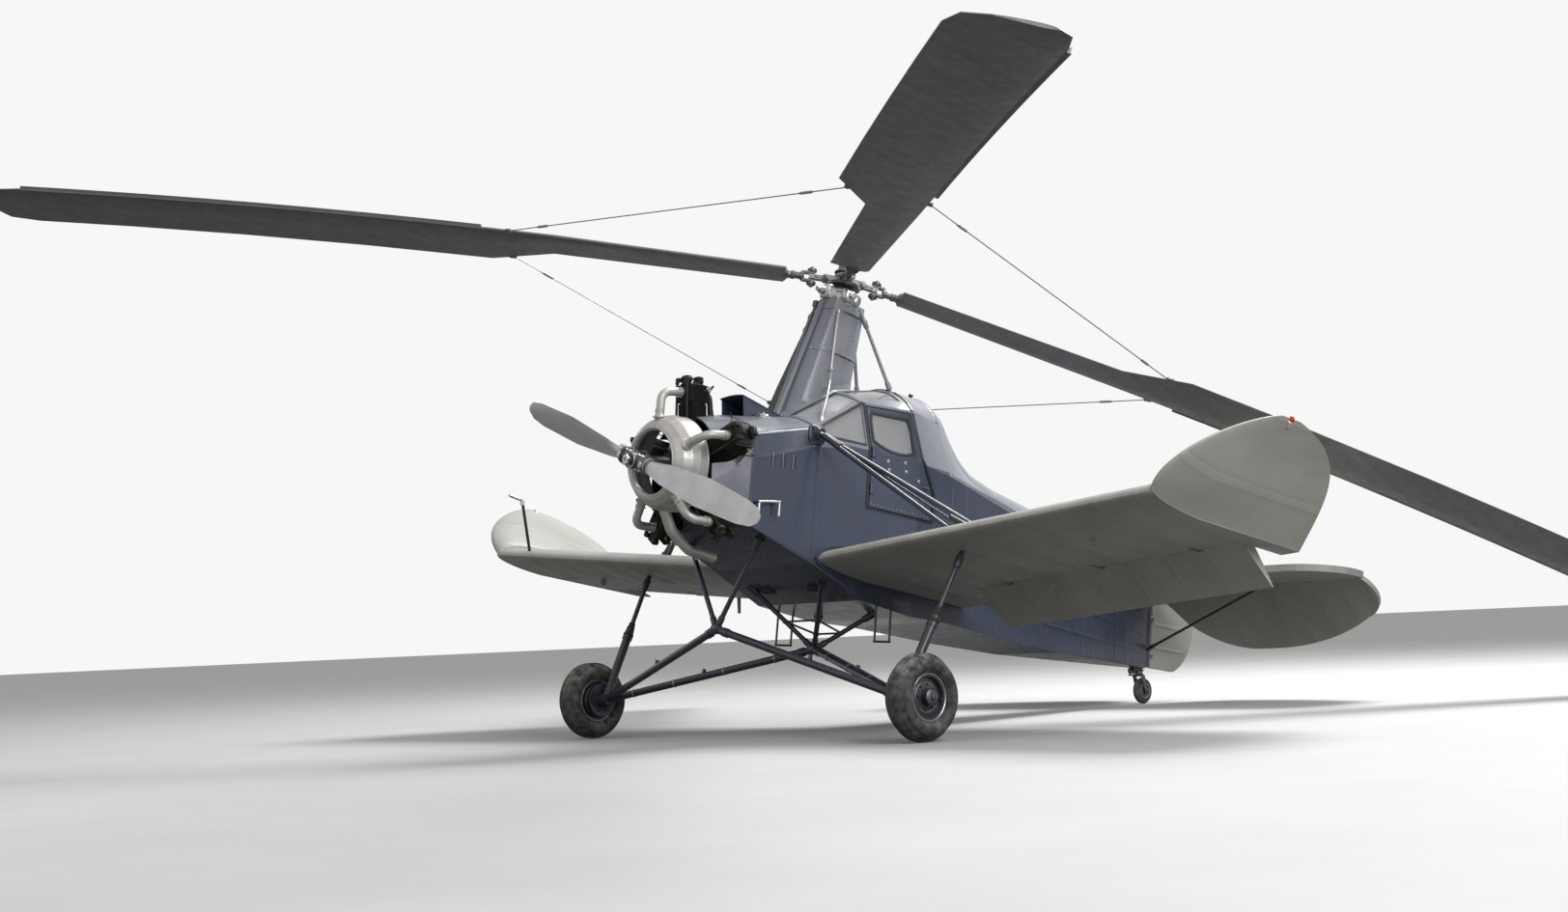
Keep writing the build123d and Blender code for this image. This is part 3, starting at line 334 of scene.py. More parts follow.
def mirrored(part):
    """Starboard copy of a port piece, with its faces turned round so that they still point out."""
    points, faces = part
    return np.asarray(points) * (-1, 1, 1), [list(face)[::-1] for face in faces]


def both_sides(parts):
    """Port pieces and their starboard copies."""
    return list(parts) + [mirrored(part) for part in parts]


def one_side(parts, name):
    """Port pieces, or their starboard copies where the name ends in right."""
    return [mirrored(part) for part in parts] if name.endswith("right") else list(parts)


print("mesh helpers ready")

# %% [markdown]
# A finish is built from the same few nodes each time: a noise that varies the colour a little, a
# second one that varies the roughness, and a fine bump. What differs is the scale and the amount.
# Object coordinates are in metres here, so a scale of 40 means grains of about 25 mm.

# %% Material helpers
class Finish:
    """One node material, with short calls for the nodes that the finishes share."""

    def __init__(self, name, roughness=0.5, metallic=0.0):
        self.material = bpy.data.materials.new(name)
        self.material.use_nodes = True
        self.tree = self.material.node_tree
        self.shader = self.tree.nodes["Principled BSDF"]
        self.shader.inputs["Roughness"].default_value = roughness
        self.shader.inputs["Metallic"].default_value = metallic
        self.coords = self.tree.nodes.new("ShaderNodeTexCoord").outputs["Object"]
        self.last_bump = None

    def node(self, kind, **inputs):
        made = self.tree.nodes.new(kind)
        for key, value in inputs.items():
            self.put(made.inputs[key.replace("_", " ")], value)
        return made

    def put(self, socket, value):
        if isinstance(value, bpy.types.NodeSocket):
            self.tree.links.new(value, socket)
        else:
            socket.default_value = value

    def stretch(self, scale):
        """Object coordinates times a scale on each axis."""
        return self.node("ShaderNodeMapping", Vector=self.coords, Scale=scale).outputs[0]

    def noise(self, scale, detail=4.0, vector=None, rough=0.55):
        return self.node("ShaderNodeTexNoise", Vector=vector or self.coords, Scale=scale,
                         Detail=detail, Roughness=rough).outputs["Fac"]

    def math(self, operation, a, b=0.0, c=0.0):
        made = self.tree.nodes.new("ShaderNodeMath")
        made.operation = operation
        for socket, value in zip(made.inputs, (a, b, c)):
            self.put(socket, value)
        return made.outputs[0]

    def spread(self, value, low, high, to_low=0.0, to_high=1.0):
        """Map a value from one range to another, held at the ends."""
        made = self.node("ShaderNodeMapRange", Value=value, From_Min=low, From_Max=high,
                         To_Min=to_low, To_Max=to_high)
        return made.outputs[0]

    def mix(self, factor, a, b):
        made = self.tree.nodes.new("ShaderNodeMix")
        made.data_type = "RGBA"
        self.put(made.inputs[0], factor)
        for socket, value in zip((made.inputs[6], made.inputs[7]), (a, b)):
            self.put(socket, value if isinstance(value, bpy.types.NodeSocket) else (*value[:3], 1.0))
        return made.outputs[2]

    def colour(self, value):
        self.put(self.shader.inputs["Base Color"],
                 value if isinstance(value, bpy.types.NodeSocket) else (*value[:3], 1.0))

    def rough(self, value):
        self.put(self.shader.inputs["Roughness"], value)

    def bump(self, height, strength=0.3, distance=0.002):
        """Add one more bump on top of the ones before it."""
        made = self.node("ShaderNodeBump", Height=height, Strength=strength, Distance=distance)
        if self.last_bump:
            self.tree.links.new(self.last_bump, made.inputs["Normal"])
        self.last_bump = made.outputs[0]
        self.put(self.shader.inputs["Normal"], self.last_bump)

    def coated(self, weight, roughness):
        """The material under a clear coat."""
        self.shader.inputs["Coat Weight"].default_value = weight
        self.shader.inputs["Coat Roughness"].default_value = roughness
        return self.material

    def axis(self, name):
        return self.node("ShaderNodeSeparateXYZ", Vector=self.coords).outputs[name]

    def upward(self):
        """How far a surface faces the sky, from 0 to 1, where dust settles and sunlight is painted."""
        normal = self.tree.nodes.new("ShaderNodeNewGeometry").outputs["Normal"]
        return self.spread(self.node("ShaderNodeSeparateXYZ", Vector=normal).outputs["Z"], 0.2, 0.95)


# %% [markdown]
# Doped fabric is stretched over ribs, so it sags a little between them and shows a taped line over
# each one. The rib pattern is a repeating ramp along the span: the distance to the nearest rib
# drives a bump and a slightly lighter tape, and stains run back along the chord.

# %% Doped fabric
def darker(colour, share):
    """A colour with each channel times a share."""
    return [c * share for c in colour]


def fabric(name, colour, spacing, axis="X", rib_width=0.02, roughness=0.42, dirt=0.25, soft=0.5,
           streaks=(3, 1.2, 3), coat=0.0):
    """Colour with stains, fine weave bump, and a raised tape at each rib along one axis."""
    f = Finish(name, roughness)
    place = f.math("FRACT", f.math("DIVIDE", f.axis(axis), spacing))
    off = f.math("SUBTRACT", place, 0.5)
    tape = f.spread(f.math("ABSOLUTE", off), rib_width / spacing, rib_width / spacing * 0.55)
    sag = f.math("MULTIPLY", f.math("COSINE", f.math("MULTIPLY", off, 6.283)), soft)
    stain = f.spread(f.noise(1.0, 6, vector=f.stretch(streaks)), 0.38, 0.76)
    tone = f.mix(stain, colour, darker(colour, 1 - dirt))
    tone = f.mix(f.math("MULTIPLY", tape, 0.2), tone, [min(1, c * 1.15 + 0.01) for c in colour])
    edge = f.math("MULTIPLY", f.spread(f.math("ABSOLUTE", off), 2.2 * rib_width / spacing,
                                       rib_width / spacing), f.math("SUBTRACT", 1.0, tape))
    tone = f.mix(f.math("MULTIPLY", edge, 0.22), tone, darker(colour, 0.6))
    f.colour(f.mix(f.spread(f.noise(35, 5), 0.3, 0.8, 0.0, 0.25), tone, darker(colour, 0.72)))
    f.rough(f.spread(f.noise(14, 4), 0.3, 0.7, roughness - 0.06, roughness + 0.12))
    f.bump(sag, 0.5, 0.01)
    f.bump(tape, 0.6, 0.0018)
    f.bump(f.noise(900, 2), 0.1, 0.0008)
    return f.coated(coat, 0.2)


CREAM = (0.52, 0.51, 0.47)
BLUE = (0.06, 0.075, 0.125)
wing_fabric = fabric("wing_fabric", CREAM, 0.3)
tail_fabric = fabric("tail_fabric", CREAM, 0.24)
blade_fabric = fabric("blade_fabric", (0.185, 0.19, 0.2), 0.16, rib_width=0.012, soft=0.15,
                      dirt=0.32, streaks=(5, 5, 5), coat=0.15)
body_fabric = fabric("body_fabric", BLUE, 0.55, axis="Y", roughness=0.3, dirt=0.3, soft=0.3, coat=0.35)
print("fabrics", wing_fabric.name, tail_fabric.name, blade_fabric.name, body_fabric.name)

# %% [markdown]
# Sheet metal has a harder gloss. It carries soft dents a hand wide, which only show in reflections,
# a film of dust that settles where the sheet faces the sky, and fine scratches. A paint can also get a
# painted sunlit top: a paler colour mixed in where the sheet faces the sky.

# %% Painted sheet metal
def paint(name, colour, roughness=0.25, dust=0.25, coat=0.5, dents=0.35, sunlit_top=None):
    """Gloss paint: dust on upward faces and in patches, a painted sunlit top, soft dents, faint orange
    peel.
    """
    f = Finish(name, roughness)
    patch = f.spread(f.noise(3.0, 6), 0.4, 0.72)
    speck = f.spread(f.noise(60, 4), 0.52, 0.75, 0.0, 0.5)
    dusty = [0.75 * c + 0.085 for c in colour]
    settled = f.math("MULTIPLY", f.upward(), f.spread(patch, 0.0, 1.0, 0.25, 1.0))
    tone = f.mix(f.math("MULTIPLY", f.math("MAXIMUM", settled, f.math("MULTIPLY", patch, 0.55)), dust),
                 colour, dusty)
    # Painted sunlight: where the sheet faces the sky, the colour is mixed toward a paler one.
    if sunlit_top:
        tone = f.mix(f.spread(f.upward(), 0.12, 0.7, 0.0, 0.9), tone, sunlit_top)
    f.colour(f.mix(f.math("MULTIPLY", speck, dust * 0.6), tone, darker(colour, 0.6)))
    f.rough(f.math("ADD", f.spread(f.noise(7, 5), 0.3, 0.75, roughness - 0.05, roughness + 0.15),
                   f.math("MULTIPLY", settled, 0.12)))
    f.bump(f.noise(4.5, 2), dents, 0.006)
    f.bump(f.noise(260, 2), 0.05, 0.0005)
    return f.coated(coat, 0.12)


body_paint = paint("body_paint", BLUE, coat=0.35, dents=0.2)
# The cowl and the cabin tub get a painted sunlit top, paler on their upward faces.
cowl_paint = paint("cowl_paint", BLUE, coat=0.35, dents=0.2, sunlit_top=(0.24, 0.26, 0.3))
strut_paint = paint("strut_paint", (0.026, 0.031, 0.048), 0.3, dents=0.1)
pylon_paint = paint("pylon_paint", (0.26, 0.28, 0.32), 0.3, dust=0.35)
deck_paint = paint("deck_paint", (0.24, 0.26, 0.3), 0.3, dust=0.4)
wheel_paint = paint("wheel_paint", (0.03, 0.033, 0.045), 0.35, dents=0.2)
seam_paint = paint("seam_paint", (0.016, 0.018, 0.026), 0.35, dents=0.0)
print("paints", body_paint.name, strut_paint.name, pylon_paint.name, deck_paint.name)

# %% [markdown]
# Bare metals: machined steel and aluminium are bright and streaked in the direction of work, cast
# cylinders are black and rough with oily spots, and the exhaust collector is dull with heat marks.

# %% Bare metals
def metal(name, colour, roughness, streak=(60, 60, 60), wear=0.3, metallic=1.0, tint=None):
    """Streaks in the roughness, darker worn patches, and an optional heat tint in broad clouds."""
    f = Finish(name, roughness, metallic)
    lines = f.noise(1.0, 5, vector=f.stretch(streak))
    patch = f.spread(f.noise(9, 5), 0.38, 0.72)
    tone = f.mix(f.math("MULTIPLY", patch, wear), colour, darker(colour, 0.45))
    if tint:
        tone = f.mix(f.spread(f.noise(3.2, 4), 0.45, 0.75, 0.0, 0.7), tone, tint)
    f.colour(tone)
    f.rough(f.math("ADD", f.spread(lines, 0.3, 0.7, roughness - 0.08, roughness + 0.12),
                   f.math("MULTIPLY", patch, 0.12)))
    f.bump(lines, 0.12, 0.0006)
    return f.material


hub_steel = metal("hub_steel", (0.2, 0.2, 0.21), 0.38)
bare_metal = metal("bare_metal", (0.62, 0.62, 0.62), 0.32)
propeller_metal = metal("propeller_metal", (0.6, 0.6, 0.61), 0.36, streak=(8, 160, 160), wear=0.25)
crankcase_metal = metal("crankcase_metal", (0.26, 0.27, 0.28), 0.42, wear=0.5)
engine_metal = metal("engine_metal", (0.035, 0.034, 0.033), 0.5, wear=0.5, metallic=0.3)
exhaust_metal = metal("exhaust_metal", (0.72, 0.71, 0.68), 0.36, streak=(30, 30, 30), wear=0.3,
                      metallic=0.55, tint=(0.46, 0.42, 0.38))
wire_steel = metal("wire_steel", (0.35, 0.35, 0.36), 0.4)
brass = metal("brass", (0.45, 0.32, 0.14), 0.35)
print("metals", hub_steel.name, bare_metal.name, exhaust_metal.name)

# %% [markdown]
# Rubber is matt and grey with dust on the tread, leather is creased, and the instruments are matt
# black. Glass is clear, and the window sheets are pale and only partly clear, thin enough that the seat
# shows through them.

# %% Rubber, leather, panel and glass
def rubber(name="tyre_rubber", dusty=(0.38, 0.365, 0.335)):
    """Matt black with dust in patches, more of it on upward faces."""
    f = Finish(name, 0.75)
    dust = f.spread(f.noise(18, 6), 0.36, 0.7)
    dust = f.math("MULTIPLY", dust, f.spread(f.upward(), 0.0, 0.8, 0.35, 1.0))
    f.colour(f.mix(dust, (0.038, 0.037, 0.036), dusty))
    f.bump(f.noise(120, 4), 0.25, 0.001)
    return f.material


def leather():
    """Brown between two tones by its creases, paler where it is worn."""
    f = Finish("seat_leather", 0.5)
    crease = f.spread(f.noise(45, 6), 0.4, 0.6)
    worn = f.spread(f.noise(5, 4), 0.42, 0.7)
    hide = f.mix(crease, (0.13, 0.055, 0.03), (0.2, 0.095, 0.055))
    f.colour(f.mix(f.math("MULTIPLY", worn, 0.5), hide, (0.27, 0.15, 0.09)))
    f.rough(f.spread(crease, 0.0, 1.0, 0.42, 0.6))
    f.bump(f.noise(160, 5), 0.35, 0.001)
    return f.material


def panel_black():
    """Matt black with a fine crackle."""
    f = Finish("panel_black", 0.55)
    f.colour(f.mix(f.spread(f.noise(70, 4), 0.4, 0.7), (0.018, 0.018, 0.019), (0.035, 0.034, 0.032)))
    f.bump(f.noise(500, 2), 0.2, 0.0005)
    return f.material


def glass(name="glass", colour=(0.86, 0.9, 0.92), clear=1.0):
    """Tinted sheet, clear by a share, with smears in its gloss."""
    f = Finish(name, 0.03)
    f.shader.inputs["Base Color"].default_value = (*colour, 1)
    f.shader.inputs["Transmission Weight"].default_value = clear
    f.shader.inputs["IOR"].default_value = 1.2
    f.rough(f.spread(f.noise(12, 5), 0.45, 0.8, 0.02, 0.16))
    return f.material


tyre_rubber, seat_leather, black_panel, clear_glass = rubber(), leather(), panel_black(), glass()
window_sheet = glass("window_sheet", (0.84, 0.86, 0.87), 0.72)
black_rubber = rubber("black_rubber", (0.05, 0.048, 0.045))
red_glass, green_glass = glass("red_glass", (0.75, 0.06, 0.05)), glass("green_glass", (0.05, 0.55, 0.25))
print("rubber, leather, panel and glass ready")

# %% [markdown]
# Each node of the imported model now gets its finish. The table goes by finish, and names the pieces of
# the aircraft that share it. The blades are left over, and they are all doped alike.

# %% Give every node its finish
FINISHES = [
    (cowl_paint, "engine_cowl cabin_tub"),
    (deck_paint, "canopy_frame turtledeck"),
    (window_sheet, "windscreen roof_panes door_glass_left door_glass_right"),
    (body_fabric, "rear_body"),
    (seat_leather, "bench_seat"),
    (black_panel, "instrument_panel control_sticks"),
    (pylon_paint, "pylon_fairing pylon_legs"),
    (bare_metal, "mast_head"),
    (crankcase_metal, "crankcase"),
    (engine_metal, "cylinders"),
    (exhaust_metal, "exhaust_collector"),
    (wing_fabric, "wing_left wing_right wing_tip_left wing_tip_right aileron_left aileron_right"),
    (strut_paint, "wing_struts_left wing_struts_right front_pyramid rear_pyramid axle_struts_left "
     "axle_struts_right shock_legs tailwheel_leg tail_struts steps"),
    (hub_steel, "tailwheel_fork rotor_hub blade_links propeller_hub"),
    (tyre_rubber, "tailwheel tyre_left tyre_right"),
    (tail_fabric, "stabiliser fin rudder elevator_left elevator_right"),
    (seam_paint, "pitot_mast"),
    (propeller_metal, "propeller"),
    (wheel_paint, "wheel_left wheel_right"),
    (body_paint, "cabin_door_left cabin_door_right cowl_flap")]
FINISH_OF = {name: finish for finish, names in FINISHES for name in names.split()}
for name, node in NODES.items():
    finish = FINISH_OF.get(name, blade_fabric if name.startswith("blade_") else None)
    assert finish, name
    for slot in node.material_slots:
        slot.material = finish
print("finishes given to", len(NODES), "nodes")

# %% [markdown]
# The engine is a five-cylinder radial. A cylinder is a barrel with thin cooling fins, a head with
# finer fins, two rocker boxes and two push-rod tubes. The solids carry thick fins that stand for
# the stack, so the barrel and head are turned and stacked anew here, fin by fin, as one profile
# each: the radius steps out and in again along the barrel.

# %% Finned barrels and heads
def barrel_profile():
    """Distance and radius along a barrel: flange, then thirty fins of 1.8 mm at a pitch of 6.7 mm."""
    z = 0.2165 + 0.0067 * np.arange(30)
    level = np.stack([z, z, z + 0.0018, z + 0.0018], -1).ravel()
    reach = np.tile([0.0735, 0.0955, 0.0955, 0.0735], 30)
    start = np.array([(0.186, 0.08), (0.199, 0.101), (0.2065, 0.101), (0.2085, 0.0735)])
    return np.vstack([start, np.stack([level, reach], -1), [(0.42, 0.0735), (0.43, 0.0735)]])


def stacked(levels, insets, half_x, half_y, count=36):
    """Rounded rectangles one above the other, each shrunk by its inset."""
    rings = [np.column_stack([outline(half_x - inset, half_y - inset, count), np.full(count, level)])
             for level, inset in zip(levels, insets)]
    return np.concatenate(rings), capped(len(levels), count)


def head_stack():
    """Head: sixteen fins at a pitch of 7.2 mm, the inset stepping between 0 and 17 mm."""
    z = 0.427 + 0.0072 * np.arange(16)
    levels = [0.4255, *np.stack([z, z, z + 0.0024, z + 0.0024], -1).ravel(), 0.544, 0.55]
    insets = [0.017, *np.tile([0.017, 0.0, 0.0, 0.017], 16), 0.015, 0.03]
    return stacked(levels, insets, 0.0885, 0.0945)


def rocker_box(y):
    """One cast box on the head: a flanged foot, rounded walls, a lid and its pin caps."""
    levels = [0.5465, 0.553, 0.5535, 0.559, 0.59, 0.5905, 0.597, 0.5985, 0.608, 0.611]
    insets = [0, 0, 0.0045, 0.006, 0.008, 0.003, 0.003, 0.009, 0.012, 0.02]
    points, faces = stacked(levels, insets, 0.0385, 0.0295, 28)
    screws = np.column_stack([outline(0.0325, 0.0235, 6) + (0, y), np.full(6, 0.5985)])
    caps = [turned([(0, 0.0155), (0.006, 0.0155), (0.0075, 0.011), (0.013, 0.011), (0.015, 0.007)],
                   (x * 0.0325, y, 0.574), (x, 0, 0), 14) for x in (-1, 1)]
    return [(points + (0, y, 0), faces), studs(screws, (0, 0, 1), 0.0042, 0.0065, 6), *caps]


def on_each_cylinder(parts):
    """The same parts in the frame of each cylinder in turn."""
    return [moved(cylinder_frame(number), part) for number in range(CYLINDERS) for part in parts]


one_cylinder = [turned(barrel_profile(), (0, 0, 0), (0, 0, 1), 40), head_stack(),
                *rocker_box(-0.05), *rocker_box(0.05),
                studs(bolt_circle("Z", 8, 0.0895, 0.2065, 0.39), (0, 0, 1), 0.006, 0.009, 6)]
cylinder_stack = make_object("cylinder_stack", on_each_cylinder(one_cylinder), engine_metal)
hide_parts("cylinders")
print("cylinders", len(cylinder_stack.data.polygons), "faces")

# %% [markdown]
# Push rods, intake pipes, plugs and leads run between the case and the heads. They are tubes along
# short smooth paths. Each lead leaves a brass nut, arches away from the fins and drops to a ring
# that carries all ten of them round the case.

# %% Push rods, intake pipes, plugs and leads
push_rods, plugs, leads = [], [], []
for x in (-1, 1):
    foot, top = np.array([x * 0.0572, -0.098, 0.15]), np.array([x * 0.052, -0.088, 0.585])
    push_rods.append(bar(foot, top, 0.0088, 12))
    for share in (0.08, 0.94):
        push_rods.append(turned([(-0.01, 0.0105), (-0.008, 0.0135), (0.008, 0.0135), (0.01, 0.0105)],
                                foot + (top - foot) * share, top - foot, 12))
    push_rods.append(block((x * 0.047, -0.073, 0.58), (0.019, 0.026, 0.0145), 0.5, 0.5))
    seat, way = np.array([x * 0.078, x * 0.04, 0.505]), np.array([x * 0.93, x * 0.25, 0.26])
    plugs.append(turned([(-0.01, 0.012), (0.004, 0.012), (0.004, 0.0085), (0.016, 0.0085),
                         (0.018, 0.011), (0.028, 0.011), (0.03, 0.006), (0.044, 0.0045),
                         (0.05, 0.0045)], seat, way, 12))
    end = seat + way * 0.048
    wire = [end, end + way * 0.03 + (0, 0, 0.004), (x * 0.122, x * 0.02 + 0.02, 0.47),
            (x * 0.112, 0.085, 0.36), (x * 0.075, 0.118, 0.27), (x * 0.05, 0.128, 0.232)]
    leads.append(along_path(smooth_path(wire, 26), 0.0042, 8, (0, 1, 0)))
intake = smooth_path([(0.045, 0.085, 0.19), (0.06, 0.098, 0.24), (0.062, 0.104, 0.36),
                      (0.05, 0.104, 0.465), (0.035, 0.088, 0.485)], 26)
intakes = [along_path(intake, 0.0195, 14, (1, 0, 0)),
           turned([(-0.006, 0.028), (0.006, 0.028)], (0.0585, 0.0975, 0.236), (0.25, 0.1, 1), 16)]
stays = [bar((0, -0.118, 0.098), (0, -0.112, 0.232), 0.0075, 12)]
for name, parts, metal_of in (("push_rods", push_rods, engine_metal), ("ring_stays", stays, bare_metal),
                              ("intake_pipes", intakes, engine_metal), ("spark_plugs", plugs, brass)):
    make_object(name, on_each_cylinder(parts), metal_of)
lead_ring = moved(ENGINE, hoop((0, 0.6, 0), (0, 1, 0), 0.232, 0.0085, 60, 10))
make_object("spark_leads", on_each_cylinder(leads) + [lead_ring], black_rubber, slot="panel_black")
print("ten plugs and leads, ten push rods, five intake pipes")

# %% [markdown]
# The exhaust collector is a pale bowl in front of the cylinders. Sheet parts are joined by bands with
# a bolt, and the bowl has a rolled bead round its mouth and a weld where its two halves meet. The
# crankcase behind it has a bolted nose, ribs and an oil sump.

# %% Collector bands, beads and case details
def band(centre, axis, radius, width=0.016, sides=24):
    """Clamp ring: a flat hoop with rolled edges, a lug and a bolt across it."""
    axis, half = unit(axis), width / 2
    ring = turned([(-half, radius), (-half, radius + 0.0028), (-width / 3, radius + 0.0016),
                   (width / 3, radius + 0.0016), (half, radius + 0.0028), (half, radius)],
                  centre, axis, sides, closed=True)
    out = unit(np.cross(axis, guide_for(axis)))
    lug = np.asarray(centre) + out * (radius + 0.006)
    return [ring, bar(lug, lug + np.cross(axis, out) * 0.016, 0.0045, 8)]


bands = [hoop((0, y, 0), (0, 1, 0), radius, thickness, 72, around) for y, radius, thickness, around in
         ((0.1165, 0.2285, 0.0052, 10), (0.277, 0.3215, 0.0026, 8), (0.349, 0.3155, 0.0048, 8))]
joints = [*band((0, 0.1925, 0.345), (0, 0.09, 1), 0.0292),
          *band((0, 0.352, 0.4925), (0, 1, 0.06), 0.0292),
          *band((0, 0.378, 0.4945), (0, 1, 0.06), 0.0292),
          turned([(0, 0.044), (0.006, 0.043), (0.014, 0.034), (0.022, 0.0305)],
                 (0, 0.1895, 0.3), (0, 0.09, 1), 24)]
bands += [moved(spun("Y", -CYLINDER_STEP * number), part) for number in range(CYLINDERS)
          for part in joints]
bands += band((-0.04, 0.4, -0.5), (0, 1, -0.85), 0.0378, 0.02)
bands += band((-0.04, 0.56, -0.575), (0, 1, -0.2), 0.0378, 0.02)
make_object("collector_bands", bands, exhaust_metal, within=ENGINE)

case_parts = [studs(bolt_circle("Y", 12, 0.083, 0.2785), (0, -1, 0), 0.0065, 0.01, 6),
              hoop((0, 0.332, 0), (0, 1, 0), 0.1, 0.006, 48, 8),
              turned([(0.046, 0.07), (0.06, 0.07), (0.062, 0.064), (0.046, 0.064)], (0, 0, 0),
                     (0, 1, 0), 30, closed=True),
              block((0, 0.475, -0.235), (0.058, 0.08, 0.05), 0.5, 0.5)]
for turn in 2 * math.pi * np.arange(10) / 10 + 0.31:
    out = np.array([math.cos(turn), 0, math.sin(turn)])
    path = [out * r + (0, y, 0)
            for y, r in ((0.262, 0.06), (0.3, 0.082), (0.334, 0.101), (0.372, 0.153))]
    case_parts.append(swept(path, [(-0.004, -0.004), (-0.003, 0.007), (0.003, 0.007), (0.004, -0.004)],
                            out))
make_object("case_details", case_parts, crankcase_metal, within=ENGINE)
print("collector bands", len(bands), "case details", len(case_parts))

# %% [markdown]
# The propeller is forged from light alloy and clamped in a split steel hub. Bolts close the two
# halves, each clamp ring has its own pair, and the crank nut shows in front.

# %% Propeller hub fittings
PROP_TURN = ENGINE @ spun("Y", 21.6)
prop_parts = []
for side in (-1, 1):
    for x, z in ((0.05, -1), (0.05, 1), (0.088, -1), (0.088, 1)):
        prop_parts.append(bar((side * x, -0.03, z * 0.047), (side * x, 0.03, z * 0.047), 0.0062, 10))
        prop_parts += [turned([(0, 0.0105), (0.009, 0.0105), (0.011, 0.007)],
                              (side * x, y * 0.026, z * 0.047), (0, y, 0), 6) for y in (-1, 1)]
    prop_parts += [block((side * 0.118, -0.058, 0), (0.013, 0.012, 0.02), 0.4, 0.4),
                   bar((side * 0.118, -0.06, -0.026), (side * 0.118, -0.06, 0.026), 0.0052, 8),
                   turned([(0.126, 0.052), (0.138, 0.055), (0.14, 0.047), (0.126, 0.044)],
                          (0, 0, 0), (side, 0, 0), 28, closed=True)]
prop_parts += [turned([(-0.082, 0.0345), (-0.094, 0.0345), (-0.0965, 0.031), (-0.0965, 0.017),
                       (-0.089, 0.016)], (0, 0, 0), (0, 1, 0), 6),
               hoop((0, -0.0605, 0), (0, 1, 0), 0.0525, 0.0042, 36, 8)]
make_object("propeller_fittings", prop_parts, bare_metal, "propeller", within=PROP_TURN)
print("propeller fittings", len(prop_parts))

# %% [markdown]
# Trim has to lie on the skin of the body, so the skin is written down once more as a function. The
# body has a few stations with a flat bottom and sides, leaning shoulders and an arched top. One
# number runs up the section: 0 at the keel, 1 at the lower corner, 2 at the sill, 3 at the shoulder
# and 4 at the crown. A small step in both directions gives the outward normal.

# %% The skin of the body
# y, half width, bottom, sill, shoulder half width, shoulder, top
STATIONS = np.array([
    (-1.862, 0.315, 1.290, 1.450, 0.300, 1.720, 1.915),
    (-1.600, 0.430, 1.180, 1.640, 0.400, 1.800, 1.968),
    (-1.085, 0.500, 1.000, 1.800, 0.440, 1.930, 2.060),
    (-0.635, 0.515, 0.815, 1.860, 0.420, 2.210, 2.330),
    (-0.120, 0.505, 0.768, 1.860, 0.400, 2.250, 2.450),
    (0.230, 0.477, 0.775, 1.832, 0.330, 2.230, 2.455),
    (0.340, 0.467, 0.772, 1.818, 0.300, 2.170, 2.402),
    (0.480, 0.453, 0.767, 1.800, 0.255, 2.042, 2.265),
    (0.620, 0.440, 0.761, 1.782, 0.225, 1.938, 2.132),
    (0.800, 0.421, 0.755, 1.758, 0.205, 1.866, 2.017),
    (1.080, 0.393, 0.744, 1.712, 0.190, 1.808, 1.937),
    (1.700, 0.312, 0.737, 1.600, 0.172, 1.734, 1.836),
    (3.115, 0.048, 0.783, 1.354, 0.034, 1.446, 1.526)])


def section_at(y):
    """The six measures of the section, straight between the stations."""
    return [np.interp(y, STATIONS[:, 0], STATIONS[:, k]) for k in range(1, 7)]


def arc_of(shoulder_half, shoulder, top):
    """Radius of the arched top and its half angle: chord and rise give the circle."""
    rise = top - shoulder
    radius = (shoulder_half ** 2 + rise ** 2) / (2 * rise)
    return radius, np.arcsin(np.clip(shoulder_half / radius, 0, 1))


def paired(y, g):
    """Both as arrays of one shape."""
    return np.broadcast_arrays(np.asarray(y, float), np.asarray(g, float))


def skin(y, g):
    """Port skin: corners joined by straight lines up to 3, then a circle up to the crown."""
    y, g = paired(y, g)
    half, bottom, sill, shoulder_half, shoulder, top = section_at(y)
    radius, reach = arc_of(shoulder_half, shoulder, top)
    angle = reach * (4 - np.clip(g, 3, 4))
    x = np.where(g < 1, half * g, np.where(g < 2, half, half + (shoulder_half - half) * (g - 2)))
    z = np.where(g < 1, bottom, np.where(g < 2, bottom + (sill - bottom) * (g - 1),
                                         sill + (shoulder - sill) * (g - 2)))
    x = np.where(g > 3, radius * np.sin(angle), x)
    z = np.where(g > 3, top - radius + radius * np.cos(angle), z)
    return np.stack([x, y, z], -1)


def skin_normal(y, g, step=0.004):
    """Cross product of the two small steps, turned away from the middle of the section."""
    y, g = paired(y, g)
    here = skin(y, g)
    up = skin(y, g + np.where(g > 4 - step, -step, step)) - here
    normal = np.cross(skin(y + step, g) - here, up)
    normal /= np.maximum(np.linalg.norm(normal, axis=-1, keepdims=True), 1e-12)
    bottom, top = section_at(y)[1], section_at(y)[5]
    away = here - np.stack([0 * y, y, (bottom + top) / 2], -1)
    return normal * np.where((normal * away).sum(-1, keepdims=True) < 0, -1, 1)


def girth(y, z):
    """The number that runs up the section, for a height on the side."""
    bottom, sill, shoulder_half, shoulder, top = section_at(np.asarray(y, float))[1:]
    radius, reach = arc_of(shoulder_half, shoulder, top)
    angle = np.arccos(np.clip((z - top + radius) / radius, -1, 1))
    return np.where(z < sill, 1 + (z - bottom) / (sill - bottom),
                    np.where(z < shoulder, 2 + (z - sill) / (shoulder - sill), 4 - angle / reach))


def on_side(places, steps=12):
    """Points between corners given as (y, z), laid on the port skin, with their normals."""
    places = np.asarray(places, float)
    s = np.linspace(0, len(places) - 1, (len(places) - 1) * steps + 1)
    y, z = [np.interp(s, np.arange(len(places)), places[:, k]) for k in (0, 1)]
    return skin(y, girth(y, z)), skin_normal(y, girth(y, z))


